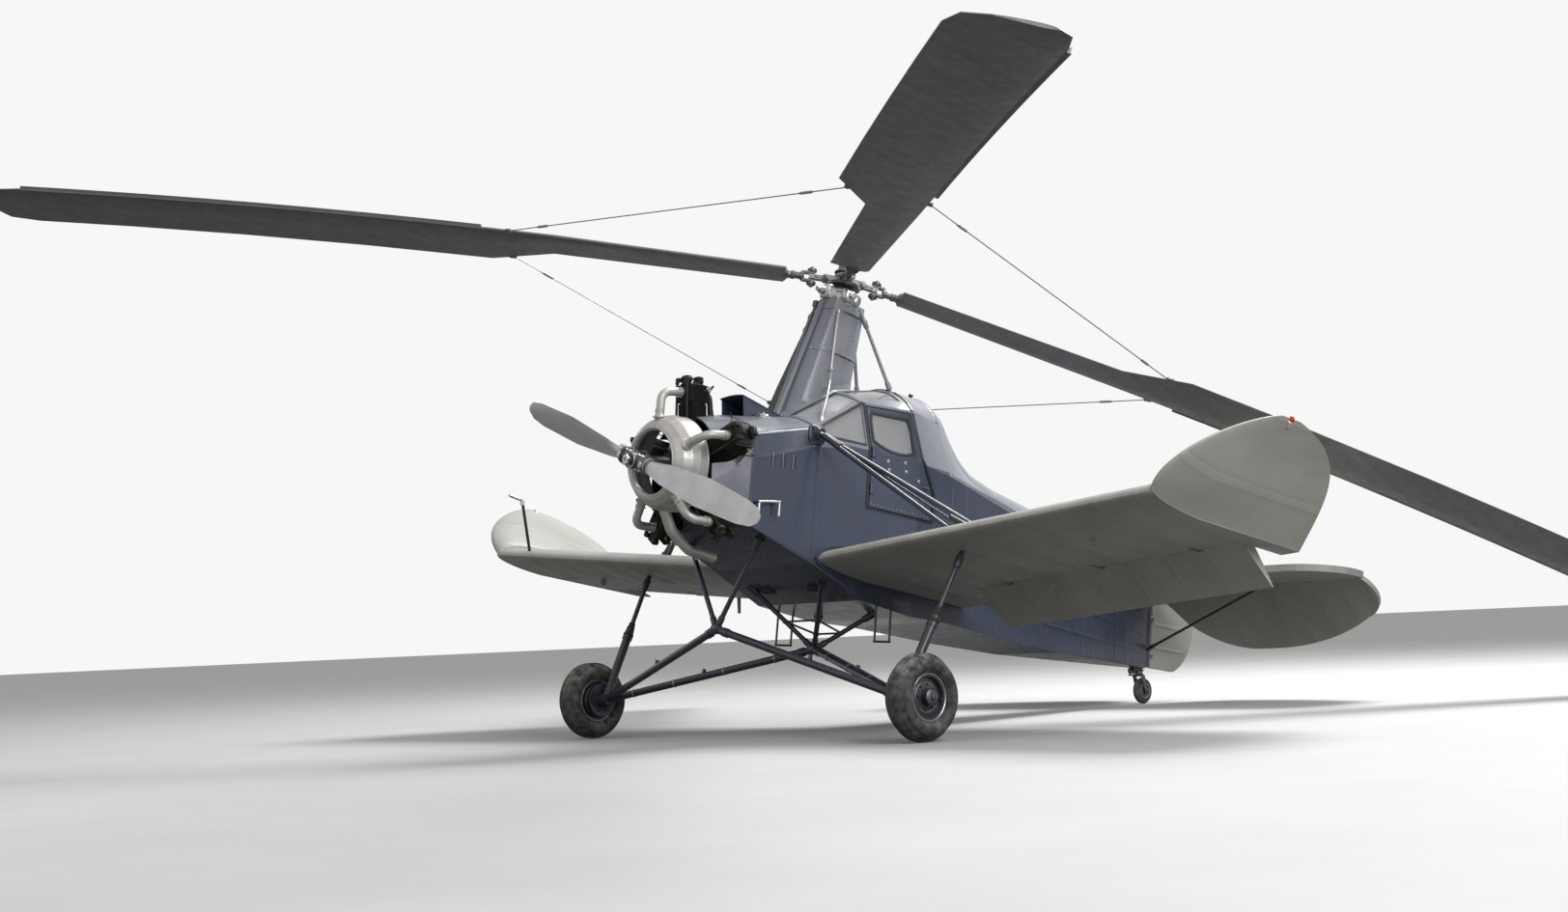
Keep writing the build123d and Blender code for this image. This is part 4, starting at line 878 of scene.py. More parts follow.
def strip(path, normals, width, height, sink=0.003):
    """Raised strip with sloping edges along a path on the skin."""
    w = width / 2
    section = [(-w, -sink), (-w, 0.3 * height), (-0.75 * w, height), (0.75 * w, height),
               (w, 0.3 * height), (w, -sink)]
    return swept(path, section, normals)


def laid(y, g, width, height):
    """Strip along a line on the skin that is given by y and the number up the section."""
    y, g = paired(y, g)
    return strip(skin(y, g), skin_normal(y, g), width, height)


def side_strip(places, steps, width, height):
    """Strip on the skin between corners given as (y, z)."""
    return strip(*on_side(places, steps), width, height)


def ring_strip(y, low, width, height, steps=40):
    """Strip round the section at one station, from the port skin over the crown to starboard."""
    g = np.linspace(low, 4, steps)
    path, normals = skin(y, g), skin_normal(y, g)
    path = np.vstack([path, path[-2::-1] * (-1, 1, 1)])
    normals = np.vstack([normals, normals[-2::-1] * (-1, 1, 1)])
    normals[steps - 1, 0] = 0
    return strip(path, normals, width, height)


def skin_studs(y, g, radius, height, sides=8, lift=0.0):
    """Domed heads on the skin."""
    return studs(skin(y, g) + lift * skin_normal(y, g), skin_normal(y, g), radius, height, sides)


print("skin at the sill of the hoop", skin(-0.635, 2.0).round(3), skin_normal(-0.635, 1.5).round(2))

# %% [markdown]
# The panels of a metal body meet in lapped seams with a row of fasteners on each side, and fabric is
# laced over stringers further aft. The laps are thin strips in the body's own paint, and so are the
# fasteners.

# %% Seams, stringers and fasteners
laps = [ring_strip(-1.6, 1.0, 0.04, 0.0016), ring_strip(-1.085, 1.0, 0.034, 0.0014)]
laps += both_sides([laid(np.linspace(front, rear, count), g, 0.026, 0.0014) for front, rear, count, g in
                    ((-1.6, -1.085, 20, 2.0), (-1.6, -0.66, 30, 1.03), (-0.55, 0.2, 24, 1.4),
                     (-1.6, -1.085, 20, 3.05))])
make_object("body_laps", laps, body_paint)
deck_laps = [ring_strip(y, 3.02, 0.03, 0.0016) for y in (0.205, 0.62, 1.08, 1.7, 2.36)]
deck_laps += both_sides([side_strip([(0.26, 1.85), (0.8, 1.772), (1.7, 1.612), (3.05, 1.366)], 12,
                                    0.03, 0.004)])
make_object("deck_laps", deck_laps, deck_paint)
stringers = [laid(np.linspace(0.26, 3.06, 60), g, 0.022, 0.0045) for g in (1.22, 1.47, 1.72)]
stringers += [laid(y, np.linspace(1.02, 1.93, 24), 0.03, 0.0022)
              for y in (0.26, 0.86, 1.46, 2.06, 2.6)]
make_object("body_stringers", both_sides(stringers), body_fabric)

rows = [(np.full(count, y), np.linspace(low, high, count)) for y, low, high, count in
        ((-1.614, 1.06, 3.98, 46), (-1.586, 1.06, 3.98, 46), (-1.096, 1.06, 2.9, 34),
         (-1.074, 1.06, 1.9, 28), (0.196, 3.0, 3.96, 14), (0.216, 3.0, 3.96, 14))]
rows += [(np.linspace(front, rear, count), np.full(count, g)) for g, front, rear, count in
         ((2.03, -1.58, -1.1, 14), (1.055, -1.58, -0.68, 26), (1.38, -0.53, 0.18, 18),
          (3.08, -1.58, -1.1, 14), (1.015, 0.3, 3.00, 60), (1.985, 0.3, 2.95, 60))]
y, g = np.hstack(rows)
body_studs = skin_studs(y, g, 0.0042, 0.0022, lift=0.0012)
make_object("body_fasteners", both_sides([body_studs]), body_paint)
print("body fasteners", 2 * len(y))

# %% [markdown]
# Dark rubber strips seal the canopy. One runs along the shoulder over the windscreen and down the
# front door post, one follows the leaning rear post over the roof. Each door window has its own
# moulding, which is a closed path round the opening, laid on the skin and given to the door.

# %% Canopy strips and window mouldings
seals = [side_strip([(-1.075, 1.935), (-0.64, 2.205)], 24, 0.02, 0.007),
         side_strip([(-0.629, 2.205), (-0.629, 1.86), (-0.629, 1.462)], 14, 0.022, 0.007),
         side_strip([(-0.12, 2.232), (-0.079, 1.9), (0.056, 1.66), (0.056, 1.462)], 14, 0.02, 0.007),
         side_strip([(-0.629, 1.455), (0.056, 1.455)], 24, 0.014, 0.004),
         side_strip([(-1.06, 1.893), (-0.655, 1.893)], 20, 0.016, 0.005)]
PANE_EDGE = 0.15
y = np.linspace(-1.057, -0.653, 16)
radius, reach = arc_of(*section_at(y)[3:])
seals.append(laid(y, 4 - np.arcsin(PANE_EDGE / radius) / reach, 0.016, 0.005))
seals = both_sides(seals) + [ring_strip(-0.124, 3.0, 0.02, 0.007)]
make_object("canopy_seals", seals, seam_paint)


def window_edge(grow=0.006, steps=10):
    """Corners of a door window: straight sides and top, and a lower edge in a shallow arc."""
    front, rear, top = -0.572 - grow, -0.172 + grow, 2.165 + grow
    s = np.linspace(0, 1, 9)
    low = (1.945 - grow) * (1 - s) + (1.925 - grow) * s - 4 * 0.043 * s * (1 - s)
    lower = np.column_stack([front + (rear - front) * s, low])
    corners = np.vstack([lower, [(rear, 2.1), (rear - 0.02, top), (front + 0.02, top - 0.02),
                                 (front, 2.09), lower[0]]])
    return on_side(corners, steps)


trim = [strip(*window_edge(), 0.022, 0.0055)]
spots = np.array([(-0.44, 1.817), (-0.267, 1.834), (-0.425, 1.758), (-0.253, 1.775), (-0.121, 1.729)]).T
edge = np.array([[*[-0.585] * 12, *np.linspace(-0.56, 0.0, 15)],
                 [*np.linspace(1.5, 2.15, 12), *[1.492] * 15]])
plates = [skin_studs(spots[0], girth(*spots), 0.013, 0.006, 14),
          skin_studs(edge[0], girth(*edge), 0.0038, 0.002)]
for body in ("door_left", "door_right"):
    make_object("window_moulding_" + body, one_side(trim, body), seam_paint, body)
    make_object("door_fasteners_" + body, one_side(plates, body), bare_metal, body)
print("canopy strips", len(seals))

# %% [markdown]
# Small things on the skin: three louvres that let engine heat out, a fuel filler, a roof knob, the
# flange round the wing root, and knuckles of the cowl flap. A louvre is a slot with a pressed lip
# along its front edge; the shade inside the slot is painted as a thin dark strip.

# %% Louvres, filler, knob and root flange
slot_shades, lips = [], []
for y in (-1.447, -1.366, -1.285):
    # Painted shade: a thin dark strip stands for the shadow inside the louvre slot.
    slot_shades.append(side_strip([(y, 1.612), (y, 1.7)], 10, 0.02, 0.0012))
    path, normals = on_side([(y - 0.014, 1.606), (y - 0.014, 1.706)], 10)
    lips.append(swept(path, [(-0.006, -0.002), (-0.006, 0.007), (0.001, 0.009), (0.006, -0.002)],
                      normals))
make_object("louvre_slots", both_sides(slot_shades), seam_paint)
make_object("louvre_lips", both_sides(lips), body_paint)

caps = [turned([(-0.006, 0.052), (0.004, 0.052), (0.006, 0.046), (0.006, 0.04), (0.018, 0.038),
                (0.022, 0.033), (0.022, 0.012), (0.03, 0.009), (0.032, 0.004)],
               skin(-1.33, 3.62), skin_normal(-1.33, 3.62), 28)]
caps += [bar((x - 0.022, -1.105, 2.0528), (x + 0.022, -1.105, 2.0528), 0.0078, 10)
         for x in (-0.095, -0.032, 0.032, 0.095)]
knob = turned([(-0.012, 0.012), (0.006, 0.012), (0.01, 0.008), (0.022, 0.008), (0.028, 0.017),
               (0.04, 0.019), (0.048, 0.013), (0.05, 0.004)], (0, 0.258, 2.451), (0, 0.02, 1), 18)
make_object("fuel_cap", caps, bare_metal)
make_object("roof_knob", [knob], seam_paint)

TILT = math.radians(5.0)
WING_OUT = np.array([math.cos(TILT), 0, math.sin(TILT)])
WING_ALONG = np.array([0, math.cos(TILT), -math.sin(TILT)])
WING_NORMAL = np.cross(WING_OUT, WING_ALONG)


def wing_spot(x, back, up=0.0):
    """Point behind the straight leading edge along the chord, and above the chord line. The wing
    rises outwards and its nose stands up, both by the same tilt."""
    x, back, up = np.broadcast_arrays(*[np.asarray(v, float) for v in (x, back, up)])
    start = np.stack([x, np.full(x.shape, -1.035), 1.045 + (x - 0.5) * math.tan(TILT)], -1)
    return start + back[..., None] * WING_ALONG + up[..., None] * WING_NORMAL


def wing_section(back, side, grow=0.0):
    """Height of the section: elliptic nose to 30 percent, arched back, straight belly."""
    back = np.asarray(back, float)
    peak, chord, edge = 0.45, 1.5, 0.005
    full = (0.125 if side > 0 else 0.062) + grow
    nose = full * np.sqrt(np.clip(1 - ((peak - back) / (peak + grow)) ** 2, 0, 1))
    s = np.clip((back - peak) / (chord - peak), 0, 1)
    aft = edge + (full - edge) * ((1 - s) * (1 + 0.88 * s) if side > 0 else (1 - s))
    return side * np.where(back < peak, nose, aft)


def round_section(grow, reach, steps):
    """(back, up) along the upper side from the rear, round the nose and back below."""
    a = np.linspace(0, 1, steps)
    top = reach * (1 - a) ** 1.6 - grow * (a > 0.999)
    low = reach * a ** 1.6 - grow * (a < 0.001)
    return np.vstack([np.column_stack([top, wing_section(top, 1, grow)]),
                      np.column_stack([low[1:], wing_section(low[1:], -1, grow)])])


root = round_section(0.016, 1.47, 50)
points = wing_spot(0.5, root[:, 0], root[:, 1])
points[:, 0] = skin(points[:, 1], girth(points[:, 1], points[:, 2]))[:, 0]
points[:, 0] = np.where(points[:, 2] < 0.8, 0.5, points[:, 0])
flange = swept(points, [(-0.024, -0.003), (-0.024, 0.002), (0.0, 0.004), (0.01, 0.016), (0.02, 0.016),
                        (0.02, -0.003)], (1, 0, 0))
make_object("wing_root_flanges", both_sides([flange]), body_paint)
print("louvres, filler, knob and root flanges ready")

# %% [markdown]
# The grab bar below the engine stands on two short posts that turn down at its ends, so that it is
# also a foothold when the engine is worked on.

# %% Posts of the grab bar
corners = [(0.502, -1.596, 1.241), (0.5, -1.596, 1.326), (0.5, -1.588, 1.338), (0.5, -1.428, 1.363),
           (0.5, -1.42, 1.356), (0.502, -1.42, 1.269)]
grab = along_path(smooth_path(corners, 60), 0.0105, 12, (1, 0, 0))
make_object("grab_bar", both_sides([grab]), bare_metal)
print("grab bars", len(grab[0]), "points each")

# %% [markdown]
# The pylon carries the rotor. Its fairing is a sheet tube with a skirt where it meets the body,
# a lapped band half way up and a row of fasteners down each side. A thin rod with a turnbuckle runs
# up in front, and a pale pipe comes down the port side with a kink where it is clipped.

# %% Pylon skirt, band, turnbuckle and pipe
# height, front, rear, half width
PYLON = np.array([(2.05, -1.035, -0.3, 0.135), (2.38, -0.915, -0.385, 0.118),
                  (3.02, -0.672, -0.285, 0.088)])
SKIRT_HEIGHT = 2.16


def pylon_at(z):
    """Front, rear and half width of the fairing at a height."""
    return [np.interp(z, PYLON[:, 0], PYLON[:, k]) for k in (1, 2, 3)]


def pylon_ring(z, grow=0.0, count=26):
    """Section of the fairing at a height: elliptic nose to 30 percent, then arched to a blunt edge."""
    front, rear, half = pylon_at(z)
    s = np.linspace(0, 1, count) ** 1.5
    nose = np.sqrt(np.clip(1 - ((0.3 - s) / 0.3) ** 2, 0, 1))
    t = np.clip((s - 0.3) / 0.7, 0, 1)
    x = np.where(s < 0.3, half * nose, 0.012 + (half - 0.012) * (1 - t) * (1 + 0.88 * t)) + grow
    y = front - grow + (rear - front + 2 * grow) * s
    return np.vstack([np.column_stack([x, y]), np.column_stack([-x[::-1], y[::-1]])])


def crown_height(x, y):
    """Height of the arched top: its circle's centre plus the root of r squared less x squared."""
    shoulder_half, shoulder, top = section_at(y)[3:]
    radius = arc_of(shoulder_half, shoulder, top)[0]
    return top - radius + np.sqrt(np.maximum(radius ** 2 - x ** 2, 0))


def pylon_skirt():
    """A sheet skirt that lies on the body and turns up against the fairing: three rounds of finding
    the height of the body below each point, and moving the point with the fairing at that height."""
    rows = []
    for grow, lift in ((0.03, -0.004), (0.03, 0.002), (0.012, 0.004), (0.004, 0.012), (0.002, 0.048),
                       (-0.004, 0.048)):
        flat = ring = pylon_ring(SKIRT_HEIGHT, grow)
        for _ in range(3):
            there = pylon_at(crown_height(ring[:, 0], ring[:, 1]) + lift)
            front, rear = [there[k] - pylon_at(SKIRT_HEIGHT)[k] for k in (0, 1)]
            share = (ring[:, 1] - ring[:, 1].min()) / np.ptp(ring[:, 1])
            ring = flat + np.column_stack([0 * share, front * (1 - share) + rear * share])
        rows.append(np.column_stack([ring, crown_height(ring[:, 0], ring[:, 1]) + lift]))
    return np.concatenate(rows), grid_faces(len(rows), len(rows[0]))[:, ::-1].tolist()


def pylon_band(z, grow=0.0025, width=0.03):
    """Lapped band round the fairing at one height."""
    rows = [np.column_stack([pylon_ring(z + dz, g), np.full(52, z + dz)]) for dz, g in
            ((-width / 2, -0.003), (-width / 2, grow), (width / 2, grow), (width / 2, -0.003))]
    return np.concatenate(rows), grid_faces(4, 52).tolist()


make_object("pylon_skirt", [pylon_skirt(), pylon_band(2.62), pylon_band(2.955, 0.004, 0.045)],
            pylon_paint)
edge = np.array([(*pylon_ring(z)[k], z) for z in np.linspace(2.2, 2.93, 22) for k in (8, 20, 31, 43)])
on_band = np.array([(*p, z) for z in (2.611, 2.629) for p in pylon_ring(z, 0.002)[2:50:3]])
fasteners = [studs(places, np.sign(places[:, :1]) * (1, 0, 0) + (0, back, 0), 0.0036, 0.0018)
             for places, back in ((edge, 0), (on_band, -0.15))]
make_object("pylon_fasteners", fasteners, bare_metal)

low, high = np.array([-0.006, -1.09, 2.048]), np.array([-0.06, -0.7, 2.99])
way = unit(high - low)
screw = [turned([(0, 0.009), (0.02, 0.012), (0.035, 0.019), (0.055, 0.02), (0.075, 0.014),
                 (0.135, 0.014), (0.155, 0.02), (0.175, 0.019), (0.19, 0.012), (0.21, 0.009)],
                low + way * 0.72, way, 16),
         block(high - way * 0.02, (0.018, 0.02, 0.03), 0.6, 0.6, 8, 16),
         block(low + way * 0.028, (0.017, 0.017, 0.028), 0.6, 0.6, 8, 16),
         bar((-0.085, -0.712, 2.965), (-0.035, -0.712, 2.965), 0.008, 8),
         bar((-0.03, -1.078, 2.078), (0.018, -1.078, 2.078), 0.007, 8)]
make_object("pylon_turnbuckle", screw, hub_steel)
kink = smooth_path([(0.075, -0.6, 2.965), (0.108, -0.64, 2.86), (0.128, -0.678, 2.6), (0.15, -0.712, 2.4),
                    (0.235, -0.8, 2.29), (0.3, -0.88, 2.175), (0.34, -0.935, 2.1),
                    (0.372, -0.975, 2.022)], 46)
pipe = [along_path(kink, 0.0085, 10, (0, 1, 0)),
        turned([(-0.012, 0.019), (0.01, 0.019), (0.016, 0.014), (0.03, 0.012)], kink[-1],
               (-0.1, 0.1, 1), 16),
        turned([(0, 0.013), (0.03, 0.013)], kink[3], kink[4] - kink[3], 12),
        block((0.14, -0.704, 2.462), (0.022, 0.012, 0.014), 0.5, 0.5, 8, 16)]
make_object("pylon_pipe", pipe, bare_metal)
leg_ends = []
for x in (-1, 1):
    foot, head = np.array([x * 0.18, -0.11, 2.38]), np.array([x * 0.0396, -0.36, 3.0])
    way = unit(head - foot)
    leg_ends += [turned([(0, 0.013), (0.008, 0.021), (0.055, 0.019), (0.07, 0.0135)], foot + way * s,
                        d * way, 16) for s, d in ((0.055, 1), (0.6, -1))]
    leg_ends.append(block(foot + way * 0.03, (0.03, 0.036, 0.014), 0.5, 0.5, 8, 18))
make_object("pylon_leg_ends", leg_ends, pylon_paint)
print("pylon details ready")

# %% [markdown]
# Under the hub sits a cast housing with lumps for the drive that spins the rotor up before take-off.
# It doesn't turn.

# %% Mast head castings
UP = (0, 0, 1)
castings = [block(place, half, flat, flat) for place, half, flat in
            (((0, -0.118, -0.13), (0.058, 0.06, 0.06), 0.6),
             ((0.082, -0.02, -0.135), (0.048, 0.05, 0.046), 0.7),
             ((-0.085, -0.03, -0.14), (0.05, 0.046, 0.048), 0.7),
             ((0.03, 0.095, -0.12), (0.06, 0.04, 0.044), 0.6))]
castings += [turned(profile, place, axis, sides) for profile, place, axis, sides in
             (([(-0.205, 0.064), (-0.192, 0.088), (-0.18, 0.088), (-0.178, 0.078)], (0, 0, 0), UP, 36),
              ([(-0.116, 0.108), (-0.108, 0.114), (-0.098, 0.114), (-0.092, 0.106)], (0, 0, 0), UP, 40),
              ([(0, 0.03), (0.045, 0.03), (0.05, 0.022), (0.075, 0.018)], (0, -0.165, -0.13),
               (0, -1, -0.1), 18),
              ([(0, 0.024), (0.03, 0.024), (0.036, 0.016)], (0.122, -0.02, -0.135), (1, 0, 0), 16))]
castings.append(studs(bolt_circle("Z", 10, 0.104, -0.098), UP, 0.0052, 0.012, 6))
make_object("mast_castings", castings, bare_metal, within=ROTOR)

# %% [markdown]
# Above the housing everything turns: a toothed ring, plates with the flapping pins, and links that
# end in the drag pins, where stacks of friction discs calm the blades.

# %% Hub ring, pins, nuts and discs
TEETH = 72
a = np.linspace(0, 2 * np.pi, TEETH * 4, endpoint=False)
reach = np.tile([0.1215, 0.1275, 0.1275, 0.1215], TEETH)
gear_rows = [np.column_stack([np.cos(a) * r, np.sin(a) * r, np.full(len(a), z)])
             for z, r in ((-0.049, 0.114), (-0.049, reach), (-0.03, reach), (-0.03, 0.114))]
hub_parts = [(np.concatenate(gear_rows), grid_faces(4, len(a)).tolist()),
             studs(bolt_circle("Z", 12, 0.094, -0.026, 0.1), UP, 0.0055, 0.01, 6),
             turned([(0.06, 0.0745), (0.064, 0.078), (0.072, 0.074), (0.074, 0.056)], (0, 0, 0), UP, 32),
             studs(bolt_circle("Z", 6, 0.042, 0.118), UP, 0.0055, 0.009, 6)]
fixed, swinging = [], []
for side in (-1, 1):
    fixed += [turned([(0, 0.0165), (0.011, 0.0165), (0.013, 0.011), (0.013, 0.0085), (0.022, 0.0085)],
                     (0.13, side * 0.043, 0), (0, side, 0), 6),
              block((0.1, side * 0.034, 0), (0.056, 0.0095, 0.021), 0.3, 0.3, 8, 20)]
    stack = [(0.04, 0.03)]
    for z in 0.04 + 0.004 * np.arange(5):
        stack += [(z, 0.034), (z + 0.0025, 0.034), (z + 0.0025, 0.031)]
    stack += [(0.062, 0.02), (0.068, 0.02), (0.07, 0.012), (0.078, 0.01)]
    swinging.append(turned(stack, (0.235, 0, 0), (0, 0, side), 26))
fixed.append(block((0.092, 0, -0.03), (0.022, 0.022, 0.01), 0.4, 0.4, 8, 18))
swinging.append(block((0.183, 0, 0), (0.04, 0.028, 0.01), 0.4, 0.4, 8, 20))
for name in BLADE_SET:
    hub_parts += [moved(spun("Z", BLADE_SET[name][0]), part) for part in fixed]
    hub_parts += [moved(np.linalg.inv(ROTOR) @ blade_frame(name), part) for part in swinging]
make_object("hub_fittings", hub_parts, hub_steel, "rotor", within=ROTOR)
print("hub fittings", len(hub_parts))

# %% [markdown]
# Each blade is fabric over ribs on one steel spar. The leading edge has a metal sheath, the root end
# a collar and a plate with bolts, and light cables tie each blade to its neighbours so that they
# keep their spacing. The cables are taut, with a small turnbuckle near each end.

# %% Blade sheaths, collars and the cables between blades
CABLE_AT = 2.42


def blade_drop(x):
    """Bend of the parked blade, with the square of the distance beyond 1.5 m."""
    return -0.19 * (np.clip(x - 1.5, 0, None) / 4.62) ** 2


x = np.linspace(2.62, 5.84, 40)
sheath = swept(np.column_stack([x, np.full(40, 0.1585), blade_drop(x)]),
               [(-0.026, 0.0185), (-0.012, 0.015), (-0.0015, 0.0085), (0.0065, 0.0005),
                (-0.0015, -0.0075), (-0.012, -0.011), (-0.026, -0.013), (-0.02, 0.0)][::-1], UP)
fittings = [turned([(0.292, 0.024), (0.3, 0.031), (0.318, 0.031), (0.322, 0.026), (0.36, 0.026),
                    (0.364, 0.032), (0.384, 0.032), (0.39, 0.027), (0.408, 0.03), (0.428, 0.052),
                    (0.434, 0.052), (0.436, 0.024)], (0, 0, 0), (1, 0, 0), 26),
            bar((0.309, 0, -0.04), (0.309, 0, 0.04), 0.0062, 8),
            bar((0.374, -0.04, 0), (0.374, 0.04, 0), 0.0062, 8),
            studs([(0.4365, s * 0.036, t * 0.012) for s in (-1, 1) for t in (-1, 1)], (-1, 0, 0),
                  0.005, 0.012, 6)]
fittings += [block((CABLE_AT, y, blade_drop(CABLE_AT)), (0.03, 0.022, 0.01), 0.5, 0.5, 8, 16)
             for y in (0.166, -0.345)]
make_object("blade_sheaths", [moved(blade_frame(name), sheath) for name in BLADE_SET], hub_steel, "rotor",
            slot="blade_paint")
make_object("blade_collars", [moved(blade_frame(name), part) for name in BLADE_SET for part in fittings],
            hub_steel, "rotor")

cables = []
order = ["blade_front_starboard", "blade_front_port", "blade_rear_port", "blade_rear_starboard"]
for first, second in zip(order, order[1:] + order[:1]):
    start, end = [carried(blade_frame(name), [[CABLE_AT, y, blade_drop(CABLE_AT)]])[0]
                  for name, y in ((first, 0.166), (second, -0.33))]
    cables.append(bar(start, end, 0.0042, 8))
    way = unit(end - start)
    for spot, way in ((start, way), (end, -way)):
        cables += [turned([(0, 0.005), (0.02, 0.0095), (0.1, 0.0095), (0.12, 0.005)],
                          spot + way * 0.3, way, 10),
                   block(spot + way * 0.02, (0.012, 0.012, 0.012), 0.8, 0.8, 8, 12)]
make_object("blade_cables", cables, wire_steel, "rotor")
print("cables between blades", len(order))

# %% [markdown]
# The wing needs its hinges, horns, covers and the ends of its struts. A point of the wing is named
# by the distance from the centre plane, the distance behind the leading edge and the height above
# the chord line. The ailerons hang turned about their hinge, so their own pieces are turned with
# them before they are given to the aileron.

# %% Turning the pieces of an aileron
HINGE_BACK = 1.115
AILERON_REST = {"left": 36.0, "right": -22.0}


def swung(points, origin, axis, degrees):
    """Turn about a line: the part along the axis stays, the rest turns by cosine and sine."""
    t = math.radians(degrees)
    p = np.asarray(points, float) - origin
    along = (p @ axis)[:, None] * axis
    return origin + along + (p - along) * math.cos(t) + np.cross(axis, p) * math.sin(t)


def on_wing(x, outlined, half):
    """Plate across the wing: an outline of (back, up) points at a distance out, and its thickness."""
    return slab(*[wing_spot(x + dx, outlined[:, 0], outlined[:, 1]) for dx in (-half, half)])


back = np.linspace(1.125, 1.485, 12)
rim = np.vstack([np.column_stack([back, wing_section(back, 1)]),
                 np.column_stack([back[::-1], wing_section(back[::-1], -1)])])
horn = np.array([(1.15, -0.03), (1.182, -0.03), (1.166, -0.15), (1.154, -0.16), (1.144, -0.15)])
ribs = []
for x in (0.966, 3.104):
    ribs += [on_wing(x, rim, 0.004),
             turned([(-0.004, 0.036), (0.004, 0.036)], wing_spot(x, HINGE_BACK, 0.014), WING_OUT, 24)]
ribs += [on_wing(1.62, horn, 0.005),
         turned([(-0.01, 0.01), (0.01, 0.01)], wing_spot(1.62, 1.155, -0.146), WING_OUT, 12),
         studs(wing_spot(np.linspace(1.05, 3.03, 9), 1.18, wing_section(1.18, -1)), -WING_NORMAL,
               0.006, 0.003)]
collars = []
for x in (1.25, 2.03, 2.8):
    collars += [turned([(-0.024, 0.0425), (-0.02, 0.0445), (0.02, 0.0445), (0.024, 0.0425)],
                       wing_spot(x, HINGE_BACK, 0.014), WING_OUT, 28),
                block(wing_spot(x, 1.04, -0.026), (0.02, 0.05, 0.008), 0.35, 0.35, 8, 20)]
for side, rest in AILERON_REST.items():
    hung = [(swung(points, wing_spot(0.95, HINGE_BACK), WING_OUT, -rest), faces)
            for points, faces in ribs]
    make_object("aileron_ribs_" + side, one_side(hung, side), tail_fabric, "aileron_" + side,
                slot="aileron_fabric")
    make_object("aileron_hinges_" + side, one_side(collars, side), hub_steel)
print("aileron pieces ready")

# %% [markdown]
# Round plates in the belly of the wing give access to the cables. Each strut ends in a forked
# fitting with a cross bolt, over a base plate on the wing and a cap on the body. A tape covers the
# joint of the upturned tip, and a small lamp sits on it.

# %% Wing covers, strut ends, tip tape and lamps
covers, holders = [], []
a = np.arange(6)[:, None] * np.pi / 3
for x, back in ((0.78, 0.62), (1.3, 0.95), (1.56, 0.42), (1.95, 0.98), (2.6, 0.98), (2.95, 0.52)):
    spot = wing_spot(x, back, wing_section(back, -1) - 0.001)
    ring = 0.053 * (np.cos(a) * WING_OUT + np.sin(a) * np.cross(WING_NORMAL, WING_OUT))
    covers += [turned([(-0.004, 0.062), (0.0015, 0.062), (0.003, 0.058), (0.003, 0.046), (0.006, 0.043)],
                      spot, -WING_NORMAL, 32),
               studs(spot - WING_NORMAL * 0.002 + ring, -WING_NORMAL, 0.0042, 0.0025)]
anchor = np.array([0.52, -1.14, 1.89])
for x, back, radius in ((1.56, 0.33, 0.017), (1.64, 0.9, 0.017), (1.5, 0.93, 0.01)):
    foot = wing_spot(x, back, wing_section(back, 1))
    way = unit(anchor - foot)
    cross = unit(np.cross(way, WING_NORMAL)) * 0.034
    profile = [(0, radius * 0.9), (0.012, radius * 1.45), (0.03, radius * 1.45), (0.11, radius * 1.12),
               (0.15, radius * 1.02)]
    holders += [turned(profile, foot + way * 0.012, way, 16),
                turned(profile, anchor - way * 0.045, -way, 16),
                turned([(-0.008, 0.046), (0.004, 0.046), (0.007, 0.04)], foot, WING_NORMAL, 6),
                bar(foot + way * 0.03 - cross, foot + way * 0.03 + cross, 0.0075, 8)]
holders += [turned([(-0.03, 0.046), (-0.004, 0.044), (0.01, 0.038), (0.03, 0.02)], anchor, (1, 0, 0), 24),
            block((0.506, -1.13, 1.875), (0.014, 0.075, 0.062), 0.4, 0.4, 10, 24),
            studs([(0.52, y, z) for y in (-1.185, -1.08) for z in (1.915, 1.84)], (1, 0, 0), 0.008,
                  0.008, 6)]
make_object("wing_covers", both_sides(covers), wing_fabric)
make_object("strut_ends", both_sides(holders), strut_paint)
tape = round_section(0.0006, 1.485, 40)
outwards = np.gradient(tape, axis=0) @ np.array([[0, 1], [-1, 0]]) @ np.array([WING_ALONG, WING_NORMAL])
seams = [swept(wing_spot(3.244, tape[:, 0], tape[:, 1]),
               [(-0.03, -0.002), (-0.03, 0.0006), (0.03, 0.0006), (0.03, -0.002)], outwards),
         bar(wing_spot(0.56, 0.004), wing_spot(3.22, 0.004), 0.006, 8)]
make_object("wing_tapes", both_sides(seams), wing_fabric)
lamp_way = np.array([math.cos(math.radians(48)), 0, math.sin(math.radians(48))])
lamp_spot = wing_spot(3.25, 0.66) + 0.722 * lamp_way
base = turned([(-0.03, 0.02), (0, 0.026), (0.006, 0.026), (0.01, 0.022)], lamp_spot, lamp_way, 20)
dome = turned([(0.008, 0.021), (0.018, 0.0205), (0.03, 0.017), (0.038, 0.01), (0.041, 0.003)], lamp_spot,
              lamp_way, 20)
make_object("tip_lamp_bases", both_sides([base]), bare_metal)
make_object("tip_lamp_port", [dome], red_glass)
make_object("tip_lamp_starboard", [mirrored(dome)], green_glass)
mast = [turned([(0.02, 0.0105), (0.03, 0.0125), (0.11, 0.0125), (0.132, 0.008)], (-2.9, -1.105, 1.69),
               unit((0, -0.13, 0.022)), 14),
        turned([(-0.018, 0.0125), (-0.018, 0.017), (0.018, 0.017), (0.018, 0.0125)],
               (-2.9, -1.103, 1.672), (0, -0.05, 1), 14)]
make_object("pitot_tip", mast, bare_metal)
print("covers", len(covers), "strut ends", len(holders))

